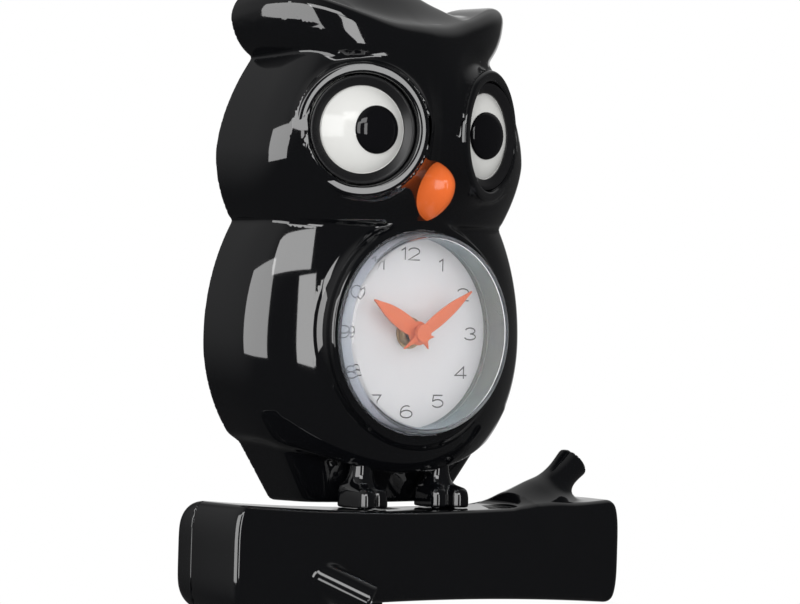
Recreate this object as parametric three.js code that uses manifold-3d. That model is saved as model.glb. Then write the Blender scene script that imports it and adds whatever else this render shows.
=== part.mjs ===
// Owl pendulum wall clock: an owl on a log, with a quartz movement, hands and a swinging tail.
// Millimetres. The wall is the plane Y = 0, the front faces -Y, +X is the viewer's right, +Z is up.
// Inside the clock group a height is measured from the dial centre and a depth forward from the wall.

import * as THREE from "three";
import { mergeVertices } from "three/addons/utils/BufferGeometryUtils.js";
import Module from "manifold-3d";

const wasm = await Module();
wasm.setup();

// General
const SEAT_GAP = 0.3;
const BEHIND_WALL = 6;
const HANG_HEIGHT = 112;
const CUT_MARGIN = 10;

// Head. A level slice has flat flanks that lean in and meet a rounded front in a soft edge.
// Flanks and front each have their own profile: how far it goes up and down, and how full it is.
const HEAD_HALF_WIDTH = 89.5;
const HEAD_DRAFT = 0.26;
const HEAD_FRONT_HALF_WIDTH = 95.6;
const HEAD_DEPTH = 63;
const HEAD_CENTRE = 87;
const HEAD_RISE = 92;
const HEAD_SIDE_PROFILE = { rise: HEAD_RISE, riseFullness: 1.65, fall: 73, fallFullness: 2 };
const HEAD_FRONT_PROFILE = { rise: HEAD_RISE, riseFullness: 1.85, fall: 100, fallFullness: 1.5 };
const NECK_HEIGHT = 53;
const NECK_OVERLAP = 4;

// Brow with the two ear tufts
const BROW_HALF_WIDTH = 83.5;
const BROW_DEPTH = 65;
const BROW_CENTRE_TOP = 159;
const BROW_CENTRE_BOTTOM = 92;
const EAR_TOP = 167.5;
const EAR_TIP = 155;
const EAR_TIP_HALF = 1;
const EAR_NOTCH = 135;
const BROW_PLAN_POWER = 1.58;
const BROW_SECTION_POWER = 2.3;

// Belly
const BELLY_HALF_WIDTH = 94.2;
const BELLY_DRAFT = 0.23;
const BELLY_FRONT_HALF_WIDTH = 97.5;
const BELLY_DEPTH = 58;
const BELLY_CENTRE = -4;
const BELLY_SIDE_PROFILE = { rise: 104, riseFullness: 2, fall: 86, fallFullness: 2 };
const BELLY_FRONT_PROFILE = { rise: 120, riseFullness: 2, fall: 86, fallFullness: 2 };
const BELLY_BOTTOM = -54.5;
const BELLY_ROLL = 7.5;
const BELLY_ROLL_INSET = 9;
const BELLY_DROP = 32;
const BELLY_DROP_START = 10;

// Rump
const RUMP_TOP = -40;
const RUMP_TOP_HALF_WIDTH = 82.5;
const RUMP_TOP_DEPTH = 44;
const RUMP_BOTTOM = -86;
const RUMP_BOTTOM_HALF_WIDTH = 51;
const RUMP_BOTTOM_DEPTH = 31;
const RUMP_DRAFT = 0.29;
const RUMP_FRONT_SPREAD = 1.268;

// Moulded walls and the back cover
const SHELL_WALL = 2.6;
const COVER_THICKNESS = 2.4;
const COVER_GAP = 0.6;
const COVER_UPPER_SCREW_INSET = 12.2;
const COVER_UPPER_SCREW_HEIGHT = 118;
const COVER_LOWER_SCREW_INSET = 29.4;
const COVER_LOWER_SCREW_HEIGHT = -36;
const COVER_NOTCH_RISE = 8;
const WINDOW_MARGIN = 5;
const KEYHOLE_HEAD_RADIUS = 5;
const KEYHOLE_SLOT_RADIUS = 2.3;
const KEYHOLE_RISE = 9;

// Screws
const SCREW_RADIUS = 1.5;
const SCREW_HEAD_RADIUS = 3.4;
const SCREW_HEAD_HEIGHT = 1.1;
const SCREW_LENGTH = 9;
const BOSS_RADIUS = 4;

// Eyes
const EYE_X = 38.7;
const EYE_HEIGHT = 100.2;
const EYE_DEPTH = 53;
const EYE_TURN = THREE.MathUtils.degToRad(20);
const LIP_TURN = THREE.MathUtils.degToRad(25);
const LIP_RADIUS = 29.8;
const LIP_ROUND = 2.4;
const LIP_RISE = 5;
const SOCKET_RADIUS = 27.4;
const SOCKET_FLOOR = 4;
const SOCKET_WALL = 2.4;
const SOCKET_CLEAR_BACK = 12;
const SOCKET_CLEAR_FRONT = 40;
const BEZEL_INNER_RADIUS = 21.8;
const BEZEL_FRONT = 2.8;
const BEZEL_INNER_FRONT = 1;
const BEZEL_RIM = 1.2;
const EYEBALL_RADIUS = 32.3;
const EYE_DOME_RISE = 8.1;
const PUPIL_RADIUS = 11.9;
const PUPIL_THICKNESS = 2;
const PUPIL_EDGE = 0.5;
const PUPIL_INWARD = 6.5;

// Beak
const BEAK_TOP = 87;
const BEAK_TIP_CLEARANCE = 0.6;
const BEAK_WIDEST = 74;
const BEAK_HALF_WIDTH = 10;
const BEAK_FRONT = 77;
const BEAK_ROOT = 52;
const BEAK_PIN_RADIUS = 3;
const BEAK_TOP_POWER = 0.65;
const BEAK_TIP_POWER = 0.82;

// Dial, crystal and collar
const DIAL_FRONT = 45;
const DIAL_THICKNESS = 1.6;
const DIAL_RADIUS = 52.8;
const CRYSTAL_RADIUS = 50;
const CRYSTAL_FRONT = 65.2;
const CRYSTAL_WALL = 1.8;
const CRYSTAL_FLANGE = 1.8;
const CRYSTAL_EDGE = 1;
const COLLAR_RADIUS = 55.8;
const COLLAR_FRONT = 57;
const COLLAR_EDGE = 1.4;
const COLLAR_INNER_EDGE = 0.6;
const DIAL_BOSS_RING = 57;
const DIAL_SCREW_FLANGE = 5.6;
const DIAL_SCREW_LENGTH = 4.5;

// Movement case
const CASE_HALF_WIDTH = 28;
const CASE_TOP = 30;
const CASE_BOTTOM = -50;
const CASE_BACK = 27.4;
const CASE_WALL = 1.4;
const BUSH_RADIUS = 4.6;
const BUSH_FRONT = 50.4;
const WASHER_RADIUS = 8;
const WASHER_THICKNESS = 0.8;
const NUT_ACROSS_CORNERS = 15;
const NUT_THICKNESS = 3;

// Wheels and arbors
const HOUR_PIPE_RADIUS = 3;
const HOUR_PIPE_BORE = 2;
const MINUTE_ARBOR_RADIUS = 1.6;
const SMALL_ARBOR_RADIUS = 0.7;
const MOTION_DISTANCE = 13.2;
const MOTION_ANGLE = THREE.MathUtils.degToRad(-30);
const CANNON_TEETH = 10;
const MOTION_TEETH = 30;
const MOTION_PINION_TEETH = 9;
const HOUR_TEETH = 36;
const THIRD_DISTANCE = 12.75;
const THIRD_ANGLE = THREE.MathUtils.degToRad(150);
const CENTRE_TEETH = 45;
const THIRD_PINION_TEETH = 6;
const SECONDS_DISTANCE = 11.88;
const SECONDS_ANGLE = THREE.MathUtils.degToRad(80);
const THIRD_TEETH = 48;
const SECONDS_PINION_TEETH = 6;
const SECONDS_WHEEL_RADIUS = 5;
const CANNON_DEPTH = 36.4;
const CENTRE_WHEEL_DEPTH = 34;
const THIRD_WHEEL_DEPTH = 31.4;
const WHEEL_THICKNESS = 1.3;
const TOOTH_ADDENDUM = 0.9;
const TOOTH_DEDENDUM = 1.15;

// Motor, board and battery
const ROTOR_X = 4;
const ROTOR_HEIGHT = 21;
const ROTOR_RADIUS = 3.3;
const STATOR_THICKNESS = 1;
const STATOR_DEPTH = 33.2;
const COIL_RADIUS = 3;
const COIL_LENGTH = 13;
const BOARD_THICKNESS = 1.2;
const BATTERY_RADIUS = 7;
const BATTERY_LENGTH = 49.6;
const BATTERY_CAP_RADIUS = 2.6;
const BATTERY_CAP_RISE = 1.5;
const BATTERY_HEIGHT = -41;
const CONTACT_SIZE = 10;
const KNOB_RADIUS = 5.5;
const KNOB_LENGTH = 6;

// Hands, read clockwise from twelve
const MINUTE_ANGLE = THREE.MathUtils.degToRad(55);
const MINUTE_LENGTH = 37.5;
const MINUTE_TAIL = 13.5;
const MINUTE_HALF_WIDTH = 3.3;
const MINUTE_BACK = 55.6;
const HOUR_ANGLE = THREE.MathUtils.degToRad(300);
const HOUR_LENGTH = 32.5;
const HOUR_TAIL = 9.5;
const HOUR_HALF_WIDTH = 4.4;
const HOUR_BACK = 52.6;
const HAND_THICKNESS = 1.2;
const MINUTE_HUB_RADIUS = 5.4;
const HOUR_HUB_RADIUS = 6;

// Pendulum
const PIVOT_HEIGHT = 22;
const PIN_RADIUS = 1.4;
const PIN_END = 10;
const HANGER_BACK = 13;
const HANGER_THICKNESS = 2.6;
const HANGER_HALF_WIDTH = 4;
const HANGER_BOTTOM = -34;
const MAGNET_HEIGHT = -23;
const MAGNET_RADIUS = 4;
const MAGNET_LENGTH = 5;
const MAGNET_AIR_GAP = 1.3;
const PENDULUM_COIL_RADIUS = 6;
const PENDULUM_COIL_LENGTH = 6;
const ROD_RADIUS = 1.4;
const ROD_SOCKET_DROP = 4;
const ROD_SOCKET_DEPTH = 8;
const TAIL_TOP = -126;
const TAIL_BOTTOM = -198;
const TAIL_HALF_WIDTH = 20;
const TAIL_NECK = 7;
const TAIL_THICKNESS = 5;
const TAIL_SOCKET_DEPTH = 12;
const TAIL_FLARE = 20;
const TAIL_SHOULDER = 24;
const SWING_ROOM = 17;

// Feet
const FOOT_INNER_X = 14;
const FOOT_WIDTH = 20.5;
const FOOT_FRONT = 58;
const FOOT_LENGTH = 25;
const FOOT_HEIGHT = 12;
const FOOT_EDGE = 2.2;
const FOOT_SEAT_GAP = 0.4;
const TOE_RADIUS = 5;
const INNER_TOE_SETBACK = 4;
const LEG_RADIUS = 6;
const LEG_TOP = -59;
const FOOT_SCREW_DEPTH = 42;
const FOOT_SCREW_TOP = -54;

// Log
const LOG_HALF_LENGTH = 122.5;
const LOG_FRONT = 73;
const LOG_BACK = 21;
const LOG_END_TOP = -83;
const LOG_WAIST_TOP = -88;
const LOG_END_BOTTOM = -137;
const LOG_WAIST_BOTTOM = -132.5;
const LOG_FRONT_ROUND = 4;
const LOG_BACK_ROUND = 13;
const LOG_END_ROUND = 5;
const LOG_END_TAPER = 12;
const LOG_END_DEPTH_SHARE = 0.25;
const LOG_WALL = 2.6;
const LOG_SPLIT = 36;
const LOG_SCREW_X = 92;
const LOG_SCREW_HEIGHT = 14;

// Twigs on the log
const UPPER_TWIG_X = 80;
const UPPER_TWIG_LENGTH = 33;
const UPPER_TWIG_TILT = THREE.MathUtils.degToRad(50);
const TWIG_DEPTH = 52;
const TWIG_END_RADIUS = 8.6;
const TWIG_WAIST_RADIUS = 6.8;
const TWIG_ROOT_RADIUS = 11;
const TWIG_ROOT_LENGTH = 10;
const TWIG_ROOT_SINK = 3;
const LOWER_TWIG_X = -67.5;
const LOWER_TWIG_HEIGHT = -120;
const LOWER_TWIG_LENGTH = 27;
const LOWER_TWIG_RADIUS = 9;
const LOWER_TWIG_ROOT = 6;
const LOWER_TWIG_SINK = 4;
const LOWER_TWIG_TURN = THREE.MathUtils.degToRad(48);
const LOWER_TWIG_DIP = THREE.MathUtils.degToRad(24);

// Facets
const ARC_STEPS = 20;
const INNER_ARC_STEPS = 8;
const ROUND_SIDES = 28;
const DIAL_SIDES = 44;
const HUB_SIDES = 24;
const PIN_SIDES = 20;
const HEAD_SIDES = 16;
const SMALL_SIDES = 12;
const SHANK_SIDES = 8;
const WELD = 1e-4;

const FAR = 300;

const finishes = {
  shell: [0x101114, 0.12, 0],
  satin: [0x2b2c2f, 0.45, 0],
  white: [0xf2f2ef, 0.2, 0],
  pupil: [0x08080a, 0.08, 0],
  orange: [0xf5824a, 0.3, 0],
  hands: [0xf08052, 0.6, 0],
  crystal: [0xdfe6ea, 0.05, 0],
  dial: [0xe6e6e9, 0.7, 0],
  brass: [0xb59a62, 0.35, 1],
  steel: [0xa9abad, 0.35, 1],
  copper: [0xb4683c, 0.4, 1],
  board: [0x2f6b3c, 0.6, 0],
  casing: [0x1c1d20, 0.5, 0],
  wheel: [0xe9e4d2, 0.5, 0],
  battery: [0x3c4148, 0.3, 0],
};

// Solids

function signedVolume(geometry) {
  const place = geometry.attributes.position;
  const index = geometry.index.array;
  const a = new THREE.Vector3();
  const b = new THREE.Vector3();
  const c = new THREE.Vector3();
  let total = 0;
  for (let i = 0; i < index.length; i += 3) {
    a.fromBufferAttribute(place, index[i]);
    b.fromBufferAttribute(place, index[i + 1]);
    c.fromBufferAttribute(place, index[i + 2]);
    total += a.dot(b.cross(c));
  }
  return total / 6;
}

// One closed surface with shared corners, no empty triangles, and its faces pointing out
function weld(geometry) {
  const bare = geometry.clone();
  bare.deleteAttribute("normal");
  bare.deleteAttribute("uv");
  const merged = mergeVertices(bare, WELD);
  const index = merged.index.array;
  const kept = [];
  for (let i = 0; i < index.length; i += 3) {
    const [a, b, c] = [index[i], index[i + 1], index[i + 2]];
    if (a !== b && b !== c && c !== a) kept.push(a, b, c);
  }
  merged.setIndex(kept);
  if (signedVolume(merged) < 0) {
    const turned = [];
    for (let i = 0; i < kept.length; i += 3) turned.push(kept[i], kept[i + 2], kept[i + 1]);
    merged.setIndex(turned);
  }
  return merged;
}

function toSolid(geometry) {
  const closed = weld(geometry);
  const vertProperties = new Float32Array(closed.attributes.position.array);
  const triVerts = new Uint32Array(closed.index.array);
  return new wasm.Manifold(new wasm.Mesh({ numProp: 3, vertProperties, triVerts }));
}

function toGeometry(solid) {
  const mesh = solid.getMesh();
  const geometry = new THREE.BufferGeometry();
  geometry.setAttribute("position", new THREE.BufferAttribute(new Float32Array(mesh.vertProperties), 3));
  geometry.setIndex(Array.from(mesh.triVerts));
  return geometry;
}

function join(first, ...rest) {
  return toGeometry(rest.reduce((sum, next) => sum.add(toSolid(next)), toSolid(first)));
}

function cut(first, ...rest) {
  return toGeometry(rest.reduce((left, next) => left.subtract(toSolid(next)), toSolid(first)));
}

function common(first, second) {
  return toGeometry(toSolid(first).intersect(toSolid(second)));
}

// A rod or disc along the depth direction, between two depths
function rod(radius, near, far, x = 0, height = 0, sides = SMALL_SIDES) {
  const geometry = new THREE.CylinderGeometry(radius, radius, far - near, sides);
  return geometry.translate(x, -(near + far) / 2, height);
}

// A round bar along the height
function post(radius, bottom, top, x, depth, sides = SMALL_SIDES) {
  const geometry = new THREE.CylinderGeometry(radius, radius, top - bottom, sides);
  return geometry.rotateX(Math.PI / 2).translate(x, -depth, (bottom + top) / 2);
}

function block(left, right, near, far, bottom, top) {
  const geometry = new THREE.BoxGeometry(right - left, far - near, top - bottom);
  return geometry.translate((left + right) / 2, -(near + far) / 2, (bottom + top) / 2);
}

// A flat outline in X and height, given thickness between two depths
function plate(shape, near, far, curveSegments = SMALL_SIDES) {
  const options = { depth: far - near, bevelEnabled: false, curveSegments };
  const geometry = new THREE.ExtrudeGeometry(shape, options);
  return geometry.rotateX(Math.PI / 2).translate(0, -near, 0);
}

// A turned piece about the depth direction: a profile of radius and depth pairs, closed on itself
function turned(profile, sides = ROUND_SIDES) {
  const points = profile.map(([radius, depth]) => new THREE.Vector2(radius, -depth));
  const onAxis = points[0].x === 0 && points[points.length - 1].x === 0;
  if (!onAxis) points.push(points[0].clone());
  return new THREE.LatheGeometry(points, sides);
}

function squareOutline(left, right, bottom, top) {
  const shape = new THREE.Shape();
  shape.moveTo(left, bottom);
  shape.lineTo(right, bottom);
  shape.lineTo(right, top);
  shape.lineTo(left, top);
  shape.closePath();
  return shape;
}

// A skin through rings with the same number of points, closed at both ends
function ringLoft(rings) {
  const count = rings[0].length;
  const corners = rings.flat();
  const index = [];
  for (let r = 0; r + 1 < rings.length; r += 1) {
    for (let i = 0; i < count; i += 1) {
      const a = r * count + i;
      const b = r * count + (i + 1) % count;
      index.push(a, b, b + count, a, b + count, a + count);
    }
  }
  for (const r of [0, rings.length - 1]) {
    const middle = new THREE.Vector3();
    for (const corner of rings[r]) middle.addScaledVector(corner, 1 / count);
    const hub = corners.length;
    corners.push(middle);
    for (let i = 0; i < count; i += 1) {
      const a = r * count + i;
      const b = r * count + (i + 1) % count;
      if (r === 0) index.push(hub, b, a);
      else index.push(hub, a, b);
    }
  }
  const geometry = new THREE.BufferGeometry().setFromPoints(corners);
  geometry.setIndex(index);
  return geometry;
}

const arcStepsFor = (inset) => (inset > 0 ? INNER_ARC_STEPS : ARC_STEPS);
const roundedPower = (value, power) => Math.sign(value) * Math.abs(value) ** (2 / power);

// The owl's outer forms, drawn in by an inset for the inside of the moulding

// Where a flank that leans in meets the oval front, as a share of the front's depth
function flankEdge(halfWidth, draft, frontHalfWidth, depth) {
  const width = halfWidth / frontHalfWidth;
  const lean = draft * depth / frontHalfWidth;
  const square = 1 + lean ** 2;
  const middle = width * lean / square;
  return middle + Math.sqrt(middle ** 2 + Math.max(0, 1 - width ** 2) / square);
}

// A slice of the owl: straight flanks and a rounded front, closed behind the wall
function slice(halfWidth, draft, frontHalfWidth, depth, heightAt, steps) {
  const ring = [];
  const start = Math.asin(flankEdge(halfWidth, draft, frontHalfWidth, depth));
  ring.push(new THREE.Vector3(halfWidth, 0, heightAt(0)));
  for (let i = 0; i <= steps; i += 1) {
    const turn = THREE.MathUtils.lerp(start, Math.PI - start, i / steps);
    const forward = depth * Math.sin(turn);
    ring.push(new THREE.Vector3(frontHalfWidth * Math.cos(turn), -forward, heightAt(forward)));
  }
  ring.push(new THREE.Vector3(-halfWidth, 0, heightAt(0)));
  ring.push(new THREE.Vector3(-halfWidth, BEHIND_WALL, heightAt(0)));
  ring.push(new THREE.Vector3(halfWidth, BEHIND_WALL, heightAt(0)));
  return ring;
}

// How much of its full size a form has at a height above or below its centre
function shareAt(above, profile) {
  const reach = above > 0 ? profile.rise : profile.fall;
  const fullness = above > 0 ? profile.riseFullness : profile.fallFullness;
  return Math.max(0, 1 - (Math.abs(above) / reach) ** fullness) ** (1 / fullness);
}

function headForm(inset) {
  const below = NECK_HEIGHT - HEAD_CENTRE;
  const rings = [];
  const steps = 10;
  for (let i = 0; i <= steps; i += 1) {
    const above = HEAD_RISE * Math.sin(THREE.MathUtils.lerp(Math.asin(below / HEAD_RISE), 1.5, i / steps));
    const side = shareAt(above, HEAD_SIDE_PROFILE);
    const front = shareAt(above, HEAD_FRONT_PROFILE);
    const height = HEAD_CENTRE + above * (1 - inset / (above > 0 ? HEAD_RISE : -below));
    const wall = inset * Math.sqrt(side);
    rings.push(slice(Math.max(1, HEAD_HALF_WIDTH * side - wall), HEAD_DRAFT,
      Math.max(1, HEAD_FRONT_HALF_WIDTH * front - wall), Math.max(1, HEAD_DEPTH * front - wall),
      () => height, arcStepsFor(inset)));
  }
  return ringLoft(rings);
}

function bellyForm(inset) {
  const top = NECK_HEIGHT + NECK_OVERLAP;
  const rollStart = BELLY_BOTTOM + BELLY_ROLL;
  const rings = [];
  const ringAt = (height, shrink) => {
    const above = Math.max(height, rollStart) - BELLY_CENTRE;
    const side = shareAt(above, BELLY_SIDE_PROFILE);
    const front = shareAt(above, BELLY_FRONT_PROFILE);
    const less = shrink + inset;
    const ramp = THREE.MathUtils.smoothstep(-height, -BELLY_DROP_START, -rollStart);
    const drop = (forward) => height + inset * ramp - BELLY_DROP * ramp * (forward / BELLY_DEPTH) ** 3;
    rings.push(slice(BELLY_HALF_WIDTH * side - less, BELLY_DRAFT, BELLY_FRONT_HALF_WIDTH * front - less,
      BELLY_DEPTH * front - less, drop, arcStepsFor(inset)));
  };
  const steps = 6;
  for (let i = 0; i <= steps; i += 1) ringAt(THREE.MathUtils.lerp(top, rollStart, i / steps), 0);
  const rollSteps = 4;
  for (let i = 1; i <= rollSteps; i += 1) {
    const turn = Math.PI / 2 * i / rollSteps;
    ringAt(rollStart - BELLY_ROLL * Math.sin(turn), BELLY_ROLL_INSET * (1 - Math.cos(turn)));
  }
  return ringLoft(rings);
}

function rumpForm(inset) {
  const ringAt = (height) => {
    const share = (height - RUMP_BOTTOM) / (RUMP_TOP - RUMP_BOTTOM);
    const halfWidth = THREE.MathUtils.lerp(RUMP_BOTTOM_HALF_WIDTH, RUMP_TOP_HALF_WIDTH, share) - inset;
    const depth = THREE.MathUtils.lerp(RUMP_BOTTOM_DEPTH, RUMP_TOP_DEPTH, share) - inset;
    return slice(halfWidth, RUMP_DRAFT, halfWidth * RUMP_FRONT_SPREAD, depth, () => height,
      arcStepsFor(inset));
  };
  return ringLoft([ringAt(RUMP_TOP), ringAt(RUMP_BOTTOM + inset)]);
}

// The brow's upper and lower edges, seen from the front, from the middle to the tip of one ear tuft
const browPoint = (across, height) => new THREE.Vector2(BROW_HALF_WIDTH * across, height);
const between = THREE.MathUtils.lerp;
const browTopEdge = new THREE.SplineCurve([
  browPoint(0, BROW_CENTRE_TOP),
  browPoint(0.42, between(BROW_CENTRE_TOP, EAR_TOP, 0.29)),
  browPoint(0.73, EAR_TOP),
  browPoint(0.9, between(EAR_TIP, EAR_TOP, 0.88)),
  browPoint(0.98, between(EAR_TIP, EAR_TOP, 0.52)),
  browPoint(1, EAR_TIP + EAR_TIP_HALF),
]);
const browLowEdge = new THREE.SplineCurve([
  browPoint(0, BROW_CENTRE_BOTTOM),
  browPoint(0.08, between(BROW_CENTRE_BOTTOM, EAR_NOTCH, 0.33)),
  browPoint(0.17, between(BROW_CENTRE_BOTTOM, EAR_NOTCH, 0.72)),
  browPoint(0.36, between(BROW_CENTRE_BOTTOM, EAR_NOTCH, 0.95)),
  browPoint(0.86, EAR_NOTCH),
  browPoint(0.96, between(EAR_NOTCH, EAR_TIP, 0.45)),
  browPoint(1, EAR_TIP - EAR_TIP_HALF),
]);

function heightOn(curve, x) {
  const points = curve.getPoints(120);
  const next = points.findIndex((point) => point.x >= x);
  if (next <= 0) return points[next === 0 ? 0 : points.length - 1].y;
  const [a, b] = [points[next - 1], points[next]];
  return THREE.MathUtils.lerp(a.y, b.y, (x - a.x) / (b.x - a.x));
}

function browForm(inset) {
  const steps = 8;
  const stations = [];
  for (let i = -steps; i <= steps; i += 1) {
    stations.push(Math.sin(Math.PI / 2 * i / steps) * (BROW_HALF_WIDTH - inset * 1.5 - 0.2));
  }
  const rings = stations.map((x) => {
    const top = heightOn(browTopEdge, Math.abs(x)) - inset;
    const bottom = heightOn(browLowEdge, Math.abs(x)) + inset;
    const across = Math.min(1, Math.abs(x) / BROW_HALF_WIDTH);
    const share = (1 - across ** BROW_PLAN_POWER) ** (1 / BROW_PLAN_POWER);
    const depth = Math.max(1, BROW_DEPTH * share - inset);
    const middle = (top + bottom) / 2;
    const half = Math.max(0.6, (top - bottom) / 2);
    const ring = [];
    const arcSteps = arcStepsFor(inset) / 2;
    for (let i = 0; i <= arcSteps; i += 1) {
      const turn = Math.PI * i / arcSteps;
      const height = middle + half * roundedPower(Math.cos(turn), BROW_SECTION_POWER);
      const forward = depth * roundedPower(Math.sin(turn), BROW_SECTION_POWER);
      ring.push(new THREE.Vector3(x, -forward, height));
    }
    ring.push(new THREE.Vector3(x, BEHIND_WALL, middle - half));
    ring.push(new THREE.Vector3(x, BEHIND_WALL, middle + half));
    return ring;
  });
  return ringLoft(rings);
}

const owlForm = (inset) => join(headForm(inset), browForm(inset), bellyForm(inset), rumpForm(inset));
const inFrontOfWall = (geometry) => cut(geometry, block(-FAR, FAR, -FAR, 0, -FAR, FAR));

// Eyes

const eyeSides = [["left", -1], ["right", 1]];

// From an eye's own frame, where depth runs out along its axis, to its place on the face
function placeEye(geometry, side, turn = EYE_TURN) {
  return geometry.rotateZ(side * turn).translate(side * EYE_X, -EYE_DEPTH, EYE_HEIGHT);
}

// The rounded lip round a socket, turned a little further out than the eye itself
function socketLip() {
  const profile = [];
  const steps = 8;
  for (let i = 0; i < steps; i += 1) {
    const turn = Math.PI * 2 * i / steps;
    const height = LIP_RISE - LIP_ROUND + LIP_ROUND * Math.sin(turn);
    profile.push([LIP_RADIUS + LIP_ROUND * Math.cos(turn), height]);
  }
  return turned(profile);
}

function socketCup() {
  const low = -SOCKET_FLOOR - SOCKET_WALL;
  const high = LIP_RISE - LIP_ROUND;
  return turned([[0, low], [LIP_RADIUS, low], [LIP_RADIUS, high], [0, high]]);
}

// The way through the face that the cup stands in
function socketOpening() {
  return turned([[0, -SOCKET_CLEAR_BACK], [SOCKET_RADIUS, -SOCKET_CLEAR_BACK],
    [SOCKET_RADIUS, SOCKET_CLEAR_FRONT], [0, SOCKET_CLEAR_FRONT]]);
}

function socketBore() {
  return turned([[0, -SOCKET_FLOOR], [SOCKET_RADIUS, -SOCKET_FLOOR], [SOCKET_RADIUS, LIP_RISE - LIP_ROUND],
    [LIP_RADIUS, LIP_RISE + LIP_ROUND], [LIP_RADIUS, SOCKET_CLEAR_FRONT], [0, SOCKET_CLEAR_FRONT]]);
}

function eyeWhite() {
  const rimRadius = Math.sqrt(EYEBALL_RADIUS ** 2 - (EYEBALL_RADIUS - EYE_DOME_RISE) ** 2);
  const flange = SOCKET_RADIUS - SEAT_GAP;
  const low = -SOCKET_FLOOR + SEAT_GAP;
  const profile = [[0, low], [flange, low], [flange, 0], [rimRadius, 0]];
  const reach = Math.asin(rimRadius / EYEBALL_RADIUS);
  const steps = 4;
  for (let i = 1; i <= steps; i += 1) {
    const turn = reach * (1 - i / steps);
    const sphereHeight = EYEBALL_RADIUS * Math.cos(turn) - EYEBALL_RADIUS + EYE_DOME_RISE;
    profile.push([EYEBALL_RADIUS * Math.sin(turn), sphereHeight]);
  }
  return turned(profile);
}

function eyeBezel() {
  const outer = SOCKET_RADIUS - SEAT_GAP;
  const low = SEAT_GAP;
  return turned([[BEZEL_INNER_RADIUS, low], [outer, low], [outer, BEZEL_FRONT],
    [outer - BEZEL_RIM, BEZEL_FRONT], [BEZEL_INNER_RADIUS, BEZEL_INNER_FRONT]]);
}

// A lens that lies on the eyeball, moved towards the beak
function pupil(side) {
  const reach = Math.asin(PUPIL_RADIUS / EYEBALL_RADIUS);
  const centre = EYE_DOME_RISE - EYEBALL_RADIUS;
  const under = EYEBALL_RADIUS + SEAT_GAP;
  const steps = 3;
  const profile = [];
  for (let i = 0; i <= steps; i += 1) {
    const turn = reach * i / steps;
    profile.push([under * Math.sin(turn), under * Math.cos(turn)]);
  }
  for (let i = steps; i >= 0; i -= 1) {
    const turn = reach * i / steps;
    const radius = under + PUPIL_EDGE + (PUPIL_THICKNESS - PUPIL_EDGE) * (1 - (i / steps) ** 2);
    profile.push([radius * Math.sin(turn), radius * Math.cos(turn)]);
  }
  const inward = Math.asin(PUPIL_INWARD / EYEBALL_RADIUS);
  const lens = turned(profile, ROUND_SIDES);
  return lens.rotateZ(-side * inward).translate(0, -centre, 0);
}

// Owl shell

const wellBack = DIAL_FRONT - DIAL_THICKNESS;
const flangeFront = DIAL_FRONT + SEAT_GAP + CRYSTAL_FLANGE;
const shelf = flangeFront + SEAT_GAP;
const dialScrewAngles = [80, 100, 230, 310].map(THREE.MathUtils.degToRad);
const dialScrewPlaces = dialScrewAngles.map((turn) => [
  DIAL_BOSS_RING * Math.cos(turn),
  DIAL_BOSS_RING * Math.sin(turn),
]);
const headSideAt = (height) => HEAD_HALF_WIDTH * shareAt(height - HEAD_CENTRE, HEAD_SIDE_PROFILE);
const bellySideAt = (height) => BELLY_HALF_WIDTH * shareAt(height - BELLY_CENTRE, BELLY_SIDE_PROFILE);
const upperScrewX = headSideAt(COVER_UPPER_SCREW_HEIGHT) - COVER_UPPER_SCREW_INSET;
const lowerScrewX = bellySideAt(COVER_LOWER_SCREW_HEIGHT) - COVER_LOWER_SCREW_INSET;
const coverScrewPlaces = [
  [-upperScrewX, COVER_UPPER_SCREW_HEIGHT],
  [upperScrewX, COVER_UPPER_SCREW_HEIGHT],
  [-lowerScrewX, COVER_LOWER_SCREW_HEIGHT],
  [lowerScrewX, COVER_LOWER_SCREW_HEIGHT],
];
const footScrewX = FOOT_INNER_X + FOOT_WIDTH / 2;
const screwHoleRadius = SCREW_RADIUS + SEAT_GAP;
const rodDepth = HANGER_BACK + HANGER_THICKNESS / 2;

function dialWell() {
  const bore = CRYSTAL_RADIUS + SEAT_GAP;
  const seat = DIAL_RADIUS + SEAT_GAP;
  return turned([[seat, wellBack], [COLLAR_RADIUS, wellBack], [COLLAR_RADIUS, COLLAR_FRONT - COLLAR_EDGE],
    [COLLAR_RADIUS - COLLAR_EDGE, COLLAR_FRONT], [bore + COLLAR_INNER_EDGE, COLLAR_FRONT],
    [bore, COLLAR_FRONT - COLLAR_INNER_EDGE],
    [bore, shelf], [seat, shelf]], DIAL_SIDES);
}

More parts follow.
